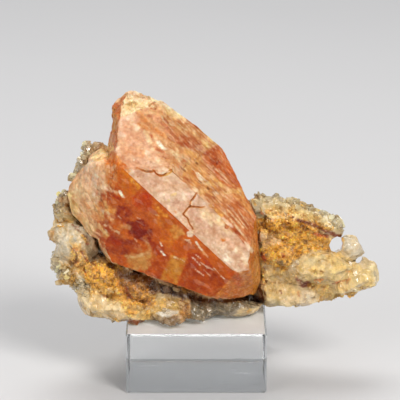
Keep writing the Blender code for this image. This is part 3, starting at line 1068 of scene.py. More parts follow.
# For each face, its roughness, how lined it is and how flaky it is.
FACE_LOOKS: dict[Face, tuple[float, float, float]] = {
    Face.BAND: (0.34, 0.1, 0.5),
    Face.LOWER: (0.2, 0.04, 0.35),
    Face.SHOULDER: (0.5, 0.1, 0.5),
    Face.STRIATED: (0.34, 0.7, 0.6),
    Face.FLANK: (0.28, 0.6, 0.4),
    Face.CORNER: (0.26, 0.3, 0.4),
    Face.TOP: (0.55, 0.1, 0.6),
    Face.SIDE: (0.45, 0.4, 0.4),
    Face.LOBE: (0.4, 0.12, 1.0),
    Face.BACK: (0.32, 0.7, 0.5),
}
CRYSTAL_MARKS: tuple[Streak | Patch, ...] = marks(
    (TAN, 1.2, 0.6, (-18.4, 12), (-18, 17.6)), (GOLD, 0.6, 0.75, (-17.4, 17.6), (-17, 14.4)),
    (MAUVE, 0.7, 0.6, (-18, 13.2), (-16.8, 10)), (AMBER, 0.28, 0.6, (-16.4, 17.4), (-15.2, 18.8)),
    (SHELL, 0.36, 0.8, (-16.8, 19.8), (-14.4, 21.6)), (PEACH, 0.4, 0.5, (-16.2, 20), (-15.2, 17.6)),
    Patch(PINKISH, 0.6, 0.85, (
        (-15.6, 16.8), (-12.6, 17.8), (-12.2, 15), (-10, 12), (-10, 10), (-7.6, 7.6), (-5.4, 6), (-7, 4.8),
        (-9, 5.6), (-14.6, 6.6), (-16.4, 8.6), (-17, 10), (-16.4, 13),
    )),
    (ROSE, 0.5, 0.6, (-16, 15.6), (-16, 12.8)), (PEACH, 1.3, 0.45, (-12.2, 9.8), (-8.6, 7.4)),
    (PALE, 0.9, 0.75, (-14, 16), (-12.6, 14.4)), (GLINT, 0.32, 0.55, (-13.4, 15.2), (-12.8, 15)),
    (GLINT, 0.4, 0.4, (-15.8, 12.2), (-15.2, 12.6)), (PEACH, 1.0, 0.6, (-15.6, 11.4), (-14, 9.6)),
    (PALE, 0.36, 0.6, (-16.4, 10.6), (-16.2, 9)), (PEACH, 1.2, 0.6, (-13.8, 9.4), (-11.8, 9.6)),
    (ROSE, 0.8, 0.6, (-11, 8), (-8.4, 6.4)), (MAUVE, 0.6, 0.35, (-12.2, 7.4), (-11.4, 7.8)),
    (GLINT, 0.2, 0.8, (-13.2, 8.2), (-13.2, 8)), (GLINT, 0.2, 0.5, (-11.8, 10.2), (-11.6, 10.2)),
    (PALE, 0.24, 0.8, (-10, 10.8), (-9.6, 10.4)), (PALE, 0.4, 0.7, (-10.8, 9.6), (-10, 8.6)),
    Patch(CREAM, 0.4, 0.9, (
        (-14.6, 22), (-10, 22), (-8, 20.6), (-7.2, 19.4), (-3.8, 17.6), (-1.6, 16.2), (-0.2, 15),
        (-3.6, 15.4), (-6.8, 17.2), (-9.4, 18.4), (-12.2, 18), (-15.2, 16.6), (-16, 18.6),
    )),
    (ROSE, 1.0, 0.6, (-13.8, 21.4), (-10.2, 21)), (BUTTER, 0.8, 0.7, (-14.4, 18.8), (-11.8, 18.8)),
    (CREAM, 0.7, 0.6, (-9.6, 20.6), (-8.4, 19.6)), (BUTTER, 0.52, 0.6, (-7.6, 18.6), (-3.2, 16.2)),
    (MAUVE, 0.28, 0.6, (-7, 19.6), (-5.2, 18.6)), (TAN, 0.32, 0.6, (-12.8, 20.8), (-12.4, 20.6)),
    (TAN, 0.24, 0.5, (-11.4, 19.8), (-11.8, 19.2)),
    (GLINT, 0.24, 0.45, (-8, 19.8), (-6.8, 18.8), (-4, 17.2), (-0.4, 15)),
    Patch(TAN, 0.4, 0.55, (
        (-12.2, 17.8), (-9.4, 18.4), (-6.8, 17.2), (-3.6, 15.4), (1, 14), (4.4, 11.6), (3.2, 10.8),
        (1.2, 9.6), (-0.8, 8.4), (-2.8, 8), (-5.6, 6.4), (-8, 8), (-10, 10), (-10, 12), (-12.2, 15),
    )),
    (AMBER, 0.6, 0.35, (-12.4, 17.2), (-10, 14.8)), (BRICK, 0.4, 0.7, (-10.2, 17), (-9.4, 16.6)),
    (HONEY, 0.6, 0.55, (-8.6, 18.4), (-5.6, 16.2)), (BRICK, 0.44, 0.65, (-8, 16), (-6, 13.8)),
    (RUST, 0.26, 0.5, (-7.2, 16.2), (-6.4, 15.4)), (AMBER, 0.4, 0.5, (-12.4, 15.2), (-10, 14)),
    (AMBER, 0.48, 0.6, (-9.6, 14.4), (-6.2, 12.4)), (PINK, 0.5, 0.5, (-6.4, 13.8), (-4.2, 11.8)),
    (BRICK, 0.9, 0.75, (-5.6, 12.6), (0, 10.4)), (RUST, 0.4, 0.45, (-4.4, 11.4), (-0.8, 10.6)),
    (RUST, 0.5, 0.35, (-2, 12.4), (0, 11.4)), (TAN, 0.8, 0.6, (-4.4, 14.8), (1.2, 13.2)),
    (CREAM, 0.24, 0.4, (-6, 15.2), (-2, 13.8)), (RUST, 0.44, 0.75, (-2.6, 16), (-1.8, 15.4)),
    (DEEP_RED, 0.18, 0.95, (-0.8, 14.4), (0, 14.8), (1.2, 14.2)),
    (CREAM, 0.32, 0.5, (1, 13.8), (3.2, 11.4)), (RUST, 0.18, 0.7, (-10, 13.4), (-9.4, 12.2)),
    (CREAM, 0.3, 0.5, (-11.2, 13.8), (-10, 11.4)), (BRICK, 0.32, 0.75, (-9.8, 10.6), (-7.4, 9.6)),
    (BRICK, 0.24, 0.5, (-8, 11), (-5.8, 10)), (BRICK, 0.24, 0.6, (-9.4, 9.2), (-6.2, 8.2)),
    (PALE, 0.6, 0.45, (-10.2, 10), (-8.4, 8)), (CREAM, 0.32, 0.8, (-9, 12.2), (-7.8, 11.2)),
    (GLINT, 0.34, 0.95, (-8.2, 11.4), (-7, 10.2)), (CREAM, 0.72, 0.75, (-5.6, 9.6), (-2.8, 7)),
    (CREAM, 0.8, 0.5, (-8, 7.8), (-4, 4.4)), (PEACH, 0.4, 0.5, (-4.8, 10.4), (-2.4, 9.2)),
    (HONEY, 0.52, 0.6, (-2.8, 9.8), (0, 8.4)),
    Patch(BUTTER, 0.3, 0.85, ((0.2, 12), (2.4, 12.6), (4, 11.4), (2.4, 10.4), (0.6, 10.4))),
    (GOLD, 0.2, 0.5, (0.6, 10.8), (3, 11.4)),
    Patch(ORANGE_BROWN, 0.28, 0.85, (
        (1, 9.8), (3.2, 10.8), (5.2, 8.8), (7.8, 4), (8.8, 2.4), (6.4, 2), (3.2, 4.4), (0.8, 7.8),
    )),
    (RUST, 0.9, 0.6, (1.4, 9.2), (3.2, 7.6)), (ORANGE, 0.8, 0.5, (5.6, 7), (7.6, 3.2)),
    (PINK, 0.32, 0.6, (0.6, 8.2), (1.6, 6.8)), (PALE, 0.16, 0.55, (2.6, 6.8), (5.8, 3.8)),
    (PINK, 0.2, 0.7, (1.8, 6.6), (4.4, 4)), (PINK, 0.18, 0.6, (3.8, 4.8), (6.2, 2.6)),
    (GLINT, 0.12, 0.45, (3.2, 6), (5.2, 4.6)),
    Patch(HONEY, 0.4, 0.7, (
        (-2.8, 8), (0, 8.8), (1.2, 7.4), (3.2, 4.4), (6.4, 2), (2.8, -1), (0, 1), (-3.4, 4), (-4, 6.4),
    )),
    (TAN, 0.7, 0.5, (-2.8, 7.4), (-1.6, 6)), (AMBER, 0.44, 0.7, (-1.4, 5.6), (-0.8, 5)),
    (BROWN, 0.2, 0.8, (-2, 8.4), (-2, 8.2)), (BROWN, 0.24, 0.8, (-0.8, 7.4), (-0.6, 7.2)),
    (BROWN, 0.14, 0.6, (-3.8, 6.6), (-3, 5.8)),
    Patch(PALE, 0.16, 0.95, ((-1, 5.6), (-0.4, 5.4), (1.2, 3.8), (-0.2, 3.8))),
    (BRICK, 0.28, 0.65, (-3.2, 4.4), (-1.8, 3.6)), (BROWN, 0.16, 0.6, (-0.2, 3.8), (0.4, 3.4)),
    (PEACH, 0.6, 0.55, (0.6, 6.6), (2.4, 5.2)), (BROWN, 0.24, 0.75, (1.6, 2.4), (1.8, 2.2)),
    (BRICK, 0.36, 0.75, (1.2, 0.8), (2.8, 0.4)), (BRICK, 0.36, 0.5, (1.8, 1.6), (3.2, 1.6)),
    Patch(PALE, 0.14, 0.8, ((3, 2), (3.8, 1.2), (3.4, 1), (2.8, 1.6))),
    (BUTTER, 0.36, 0.65, (0.8, 3.4), (4, 3), (6.8, 1.8), (9.8, 1.8)), (BUTTER, 0.4, 0.5, (5, 1.6), (8, 2)),
    Patch(HONEY, 0.4, 0.8, ((6.4, 1.8), (9.6, 2.2), (10.2, -1.6), (10.4, -3.2), (8.8, -1.2), (7.2, 0))),
    (PEACH, 0.8, 0.6, (3.6, 0.8), (6.8, -0.2)),
    Patch(TERRACOTTA, 0.3, 0.75, (
        (2.2, -1.2), (7.2, -0.2), (9.2, -1.6), (10.6, -5), (11.4, -9.4), (8.8, -8.8), (6.4, -6),
        (4.2, -3.4),
    )),
    (HONEY, 0.52, 0.85, (2.4, -1.2), (4.2, -2.8)), (BRICK, 0.44, 0.6, (5.8, -1.4), (7, -2.8)),
    (BRICK, 0.32, 0.65, (8, -3), (9.6, -5.2)), (RUST, 0.48, 0.75, (6.4, -5.6), (7.8, -6.8)),
    (CREAM, 0.1, 0.7, (4.8, -2.4), (7.6, -5.6)), (CREAM, 0.1, 0.7, (5.6, -2), (8.6, -5.6)),
    (CREAM, 0.1, 0.7, (6.6, -2), (9.4, -5.8)), (CREAM, 0.09, 0.7, (7.6, -2), (9.8, -5.2)),
    (CREAM, 0.1, 0.7, (7.2, -5.2), (9.4, -8)), (CREAM, 0.12, 0.7, (6, -3.6), (7.2, -5.2)),
    (CREAM, 0.14, 0.7, (6.8, -5), (8.6, -7)),
    Patch(PALE, 0.12, 0.85, ((4.6, -3.4), (6.6, -5.2), (6.2, -5.4), (4.2, -3.8))),
    (AMBER, 0.14, 0.8, (4.2, -3.8), (6.6, -6.4)),
    Patch(PALE, 0.14, 0.95, ((8.8, -8.2), (9.4, -8.4), (11, -10.2), (10.4, -10.6), (9, -9.4))),
    (PEACH, 0.32, 0.6, (9.6, -8.2), (11, -10)), (AMBER, 0.44, 0.4, (10, -4.4), (11.2, -9)),
    Patch(GOLD_TAN, 0.24, 0.8, ((10.8, -10.4), (11.8, -9.2), (12, -18.8), (10.6, -18.4), (11, -14))),
    Patch(BLUSH, 0.32, 0.6, (
        (-14.6, 6.4), (-8.8, 5.6), (-5.2, 6), (-3.4, 3.6), (-0.4, 1.4), (-2, -0.6), (-3.2, -3),
        (-3.2, -5.6),
    ), Face.BAND),
    (MAUVE, 1.2, 0.38, (-12.6, 5.6), (-10, 3.2), Face.BAND),
    Patch(PALE, 0.18, 0.8, ((-9, 6.4), (-7.2, 6.8), (-5.4, 5.8), (-6.4, 5), (-8, 4.8))),
    (ORANGE_BROWN, 0.22, 0.9, (-9.2, 5.8), (-8.6, 5.2), (-7.8, 4.8)),
    (GOLD, 0.14, 0.9, (-7.8, 4.8), (-6.6, 5), (-5.6, 5.8)),
    (GOLD, 0.12, 0.6, (-12.2, 6.2), (-10.8, 6), (-9.4, 5.6)), (GOLD, 0.14, 0.5, (-7, 6.8), (-6, 6.2)),
    (PINKISH, 0.8, 0.6, (-7.6, 3.2), (-4.8, 3.2), Face.BAND), (BUTTER, 0.3, 0.85, (-5.6, 1), (-5, 1.2)),
    (BUTTER, 0.24, 0.7, (-6.2, 0), (-6.4, -0.2)), (MAUVE, 0.8, 0.45, (-5, -0.6), (-3.6, -1.4), Face.BAND),
    (AMBER, 0.2, 0.6, (-5, -2.2), (-4.8, -2.4)), (PALE, 0.6, 0.75, (-3.2, 2.8), (-1, 1.6)),
    (TAN, 0.1, 0.7, (-5.6, 2.4), (-4.8, 3.2)), (PALE, 0.8, 0.5, (-10, 2), (-8, 0), Face.BAND),
    (PALE, 0.6, 0.5, (-4.4, -3.6), (-3.2, -5.2), Face.BAND),
    Patch(ROSE, 0.18, 0.8, ((-0.4, 1.2), (2, -0.8), (0.8, -1.2), (-1.6, -1.2), (-2.2, -0.6))),
    (GLINT, 0.18, 0.6, (0, -0.6), (0.8, -0.6)), (MAUVE, 0.8, 0.45, (-2, -2.4), (-0.6, -3.6), Face.BAND),
    (PEACH_CREAM, 1.1, 0.8, (0.8, -2.2), (3.2, -4.2), Face.BAND),
    (PEACH_CREAM, 0.8, 0.7, (4, -4), (6, -6.4), Face.BAND),
    (MAUVE, 0.6, 0.35, (-0.2, -4.2), (1.6, -5.6), Face.BAND),
    (PINKISH, 1.0, 0.55, (2.6, -6.4), (4.4, -8), Face.BAND), (AMBER, 0.3, 0.95, (4.6, -8), (4.8, -8)),
    (PINKISH, 1.0, 0.6, (6.2, -8), (8.2, -9.8), Face.BAND),
    (PALE, 1.0, 0.7, (4.8, -9.8), (7, -12.4), Face.BAND),
    (CREAM_PINK, 1.2, 0.8, (8, -10.2), (9.8, -12.2), Face.BAND),
    (GLINT, 0.2, 0.8, (5.2, -10.8), (5.6, -11.4)),
    (GLINT, 0.22, 0.5, (2.4, -9), (4.8, -11.6), (7.6, -14.6), Face.BAND),
    (PALE, 0.4, 0.6, (8, -14.2), (8.6, -14.8)), (PEACH, 0.32, 0.6, (9.2, -13.2), (10, -14.2)),
    Patch(ORANGE_GOLD, 0.32, 0.75, (
        (-17.6, 8.6), (-16.2, 8.8), (-14.6, 6.8), (-14, 5.8), (-15.6, 4.4), (-17.4, 4.8),
    )),
    (ORANGE, 0.52, 0.6, (-16.6, 7.8), (-15, 6.4)), (ORANGE, 0.28, 0.5, (-16.4, 7), (-16, 4.8)),
    Patch(ORANGE_GOLD, 0.6, 0.85, (
        (-15, 5.6), (-13.4, 4.8), (-12, 2.8), (-12.8, 0.4), (-15.2, 0.8), (-16.4, 3.2),
    ), Face.LOWER),
    (HONEY_GLOW, 0.48, 0.85, (-13.4, 4), (-12.2, 2.6), Face.LOWER),
    (ORANGE, 0.6, 0.5, (-15, 4.4), (-14, 1.6), Face.LOWER),
    (ORANGE_GOLD, 0.6, 0.6, (-12.4, 2.4), (-10.8, 0.8), Face.LOWER),
    Patch(RED_ORANGE, 0.6, 0.9, (
        (-11.8, 2.2), (-10.2, 1), (-8.4, -1.2), (-9.6, -2.4), (-12.4, -2), (-13.6, 0.4),
    ), Face.LOWER),
    (HOT_RED, 0.5, 0.7, (-10.8, 1.4), (-10, 0.4), Face.LOWER),
    Patch(DEEP_RED, 0.7, 0.8, (
        (-17.6, -1), (-14.4, -1), (-13.2, -2.4), (-14, -4.4), (-16.8, -4.4),
    ), Face.LOWER),
    (ORANGE_BROWN, 0.8, 0.7, (-13.4, -2.2), (-10.4, -3.2), Face.LOWER),
    (ORANGE_GOLD, 0.8, 0.7, (-9, -1.2), (-7.8, -2.8), Face.LOWER),
    (HONEY_GLOW, 0.4, 0.95, (-8.4, -1.8), (-8, -2.2), Face.LOWER),
    (HONEY_GLOW, 0.36, 0.8, (-7.4, -2.8), (-6.6, -3.4), Face.LOWER),
    (BUTTER, 0.2, 0.8, (-8.8, -3), (-8.4, -3), Face.LOWER),
    Patch(DEEP_RED, 0.5, 0.92, (
        (-14.4, -4.4), (-11.4, -4), (-9.4, -5.8), (-9.6, -8.6), (-12, -8.2), (-14.6, -6.6),
    ), Face.LOWER),
    Patch(BRICK_DARK, 0.6, 0.9, (
        (-20.2, -8), (-17.6, -7.2), (-13, -8), (-11.6, -9.2), (-12, -10.8), (-16.4, -11.2), (-20.2, -10),
    ), Face.LOWER),
    (ORANGE_BROWN, 1.0, 0.5, (-17.6, -9.4), (-16.4, -9.4), Face.LOWER),
    (BRICK, 0.7, 0.7, (-18.4, -6.4), (-16, -7.2), Face.LOWER),
    (TAN, 0.5, 0.65, (-16.4, -5.4), (-14, -5.6), Face.LOWER),
    (TAN, 0.5, 0.5, (-17.4, -3), (-16.8, -5), Face.LOWER),
    (ORANGE_BROWN, 0.9, 0.6, (-11.2, -2.4), (-8.4, -5.2), Face.LOWER),
    (DARK_ORANGE, 1.0, 0.8, (-10, -8.2), (-8, -10), Face.LOWER),
    Patch(ORANGE_GOLD, 0.7, 0.8, (
        (-8.4, -3.6), (-5.6, -4.4), (-4.8, -7.2), (-6, -10), (-8, -8),
    ), Face.LOWER),
    Patch(GOLD_TAN, 0.5, 0.9, (
        (-5.6, -4.4), (-3.6, -5.6), (-3.2, -6.8), (-4.8, -8), (-6, -6.4),
    ), Face.LOWER),
    Patch(ORANGE, 0.6, 0.8, (
        (-4.8, -8), (-2, -8.8), (-1.2, -11.2), (-3.2, -11.6), (-5.6, -10.4),
    ), Face.LOWER),
    Patch(GOLD_GLASS, 0.24, 0.92, (
        (-5.8, -11.2), (-2.6, -11.6), (-3.4, -14), (-4.6, -17), (-8.2, -15.8), (-7.2, -13.6),
    ), Face.LOWER),
    (GOLD_TAN, 0.7, 0.5, (-5.2, -12.4), (-4.4, -14.4), Face.LOWER),
    Patch(BRICK_GLOW, 0.5, 0.85, (
        (-10, -12.4), (-6.6, -10.8), (-6, -11.6), (-8, -16.2), (-11.4, -14.6),
    ), Face.LOWER),
    Patch(TAN_GLASS, 1.1, 0.85, (
        (-15.2, -11.2), (-10.4, -10), (-9.6, -11.6), (-11, -14.4), (-14.4, -14.4),
    ), Face.LOWER),
    (CREAM, 0.4, 0.4, (-14.4, -11.4), (-10.4, -10.6), Face.LOWER),
    (BRICK_GLOW, 0.6, 0.8, (-16, -11.6), (-15.2, -14), Face.LOWER),
    (TAN, 0.36, 0.75, (-11, -7.6), (-10, -10), Face.LOWER),
    Patch(BRICK_GLOW, 0.4, 0.9, (
        (-2.4, -12), (2.4, -13.6), (6.6, -16.6), (5.2, -19.6), (0.8, -19.6), (-4.8, -17.6), (-3.8, -14.8),
    ), Face.LOWER),
    Patch(HOT_BROWN, 0.5, 0.8, (
        (-2.4, -10.4), (-0.4, -10.8), (2.4, -13.2), (2.8, -15.2), (-0.4, -14.4), (-2.6, -12.8),
    ), Face.LOWER),
    (ORANGE_GOLD, 0.32, 0.5, (-4.4, -17.2), (0.8, -19.2), (5.6, -19.6), Face.LOWER),
    (ORANGE_GOLD, 0.52, 0.85, (-0.2, -7.2), (2.8, -10), (6.4, -14), Face.LOWER),
    (HONEY_GLOW, 0.28, 0.8, (1, -8.8), (1.2, -9), Face.LOWER),
    (ORANGE, 0.44, 0.8, (-3.2, -7.6), (0, -8), Face.LOWER),
    Patch(GOLD_AMBER, 0.28, 0.85, ((5.6, -16.8), (11.2, -15.2), (11.4, -19.2), (5.6, -19.6))),
    Patch(ORANGE_BROWN, 1.2, 0.55, ((4.6, -15.8), (9, -14.8), (8.6, -19), (4.6, -20.4))),
    (RED_ORANGE, 0.8, 0.55, (6, -14.4), (8, -16.4)), (TERRACOTTA, 0.3, 0.6, (8.8, -15.6), (10.8, -15.8)),
    (ROSE, 0.36, 0.8, (-2.8, -4.4), (-2.4, -5.6)),
    Patch(PALE, 0.14, 0.95, ((-2.8, -6.4), (-2, -6), (-1.2, -6.6), (-1.6, -7.4), (-2.4, -7.4))),
    Patch(PALE, 0.14, 0.95, ((-3.2, -7.8), (-2, -7.8), (-1.8, -8.8), (-2.4, -8.6))),
    Patch(PALE, 0.16, 0.7, ((-0.6, -6.6), (1.6, -7.8), (1.4, -8.2), (-0.2, -7.6))),
    Patch(AMBER, 0.9, 0.85, ((-19.4, 8.6), (-16.6, 8.2), (-16.8, 0.6), (-18.6, 1.2))),
    Patch(BRICK_GLOW, 0.9, 0.92, (
        (-20.2, 1.4), (-17, 3.2), (-16.8, -10), (-19.6, -9.6), (-20.6, -7), (-20.8, -3),
    )),
    (AMBER, 0.9, 0.6, (-17.6, 3.4), (-17, 0), (-18, -4)), (HONEY, 0.5, 0.75, (-20.4, -1), (-19.6, -4.2)),
    (PEACH_CREAM, 0.3, 0.75, (-19, -0.4), (-18.4, -2.6)),
    (PEACH_CREAM, 0.34, 0.65, (-18.6, -4.2), (-17.6, -6)), (HONEY, 0.5, 0.7, (-19.6, -5.4), (-18.8, -7.2)),
    (HOT_BROWN, 0.6, 0.7, (-17.8, -7.6), (-16.2, -8.6)),
    Patch(PALE, 1.0, 0.45, (
        (-24.6, 4), (-22, 9), (-18.6, 10.4), (-19.6, 2), (-21.4, -1.6), (-23.6, 0.6),
    ), Face.LOBE),
    (PALE, 0.5, 0.6, (-22, 7.6), (-20.8, 3.6), (-21.4, 0.6), Face.LOBE),
    (PEACH_CREAM, 0.4, 0.6, (-19.8, 8.8), (-19.4, 5.4), Face.LOBE),
    (CREAM_PINK, 0.36, 0.6, (-20.4, 5), (-20.6, 2.2), Face.LOBE),
    (PALE, 0.6, 0.7, (-19.2, 2.6), (-16.8, 1.6)), (AMBER, 0.2, 0.6, (-18.4, 3.8), (-16.4, 3.6)),
    (TERRACOTTA, 0.48, 0.75, (-17.6, 6.4), (-17, 3.8)), (PALE, 0.36, 0.75, (-18, 5.8), (-17.2, 6.8)),
    (TERRACOTTA, 0.4, 0.6, (-20.6, 0.8), (-19.2, 0.2)), (HOT_BROWN, 0.36, 0.9, (-17.6, 1.2), (-16, 0.2)),
    Patch(GLINT, 0.16, 0.9, ((-16.6, 2.2), (-15.8, 2), (-15, 0.2), (-15.8, 0.8))),
    (MAUVE, 0.22, 0.6, (-20.6, 2.4), (-20.8, -0.6)), (HONEY, 0.8, 0.6, (-19.2, -0.8), (-17.6, -2.4)),
    (TERRACOTTA, 0.6, 0.6, (-20, -2.2), (-18.8, -5)), (CREAM, 0.4, 0.6, (-18.4, -2.8), (-17.4, -4.6)),
    (BUTTER, 0.44, 0.7, (-20.4, -5.2), (-18.4, -6.8)), (GLINT, 0.22, 0.6, (-19.2, -5), (-18.6, -5.2)),
    (CREAM, 0.24, 0.8, (-16.8, -6.2), (-16.2, -6.6), Face.LOWER),
    (GLINT, 0.12, 0.95, (-8.2, -8.2), (-7.6, -9.2)), (GLINT, 0.14, 0.95, (-7.8, -10.2), (-7, -11.2)),
    (GLINT, 0.16, 0.95, (-0.8, -8.4), (-0.2, -9.4)), (GLINT, 0.18, 0.9, (-0.2, -9.4), (1.4, -11.2)),
    (GLINT, 0.1, 0.7, (-1.4, -11.6), (0, -13)), (GLINT, 0.08, 0.6, (-0.8, -11), (0.2, -11.8)),
    (GLINT, 0.1, 0.6, (-1, -13.8), (0.8, -15.2)), (GLINT, 0.14, 0.55, (1.2, -13.2), (3, -14.2)),
    (GLINT, 0.1, 0.75, (2.8, -13.6), (4.8, -15.8)), (GLINT, 0.08, 0.6, (0, -12.4), (1.6, -13.6)),
    (GLINT, 0.08, 0.5, (0.8, -14), (2, -15.2)), (GLINT, 0.12, 0.6, (-5.2, -11.4), (-4, -12)),
    (GLINT, 0.12, 0.6, (-3.8, -11.8), (-3, -12.4)), (GLINT, 0.1, 0.5, (-13, -7.8), (-12.4, -8.6)),
    (GLINT, 0.1, 0.5, (-16.4, -3.2), (-15.8, -3.8)), (GLINT, 0.1, 0.5, (-17.6, -5.6), (-17, -6.4)),
    (GLINT, 0.08, 0.5, (-12.8, -3.4), (-12, -3.8)),
    (PINKISH, 1.6, 0.6, (-23.2, 8), (-20.8, 4.4), Face.LOBE),
    (ROSE, 1.2, 0.5, (-23, 4.8), (-21, 1.6), Face.LOBE),
    (TAN, 1.2, 0.5, (-23.2, 2), (-20.4, -3), Face.LOBE),
    Patch(BUTTER, 0.28, 0.92, (
        (-21.6, 8.4), (-19.2, 11.6), (-17.4, 11.6), (-17.2, 10), (-18.4, 8.8), (-20.4, 7.8),
    )),
    (GOLD, 0.18, 0.6, (-20.8, 8), (-18.2, 8.6)),
    (BUTTER, 1.0, 0.85, (-26.4, 0.8), (-24.8, -3.2), Face.LOBE),
    (BUTTER, 0.8, 0.75, (-24.8, -3.2), (-21.6, -5.6), Face.LOBE),
    (HONEY, 0.28, 0.6, (-25.6, 0), (-23.6, -2.4), Face.LOBE),
    (TERRACOTTA, 0.18, 0.7, (-20, 6.8), (-20.8, 0.4)), (TERRACOTTA, 0.16, 0.5, (-21.6, 6.4), (-22.4, 0)),
    (PEACH, 0.32, 0.6, (-19.4, 7.6), (-19.8, 4)), (BROWN, 0.24, 0.5, (-20.4, 2), (-19.6, 0)),
    (TERRACOTTA, 0.44, 0.5, (-22, -2.4), (-20.4, -4.8), Face.LOBE),
)
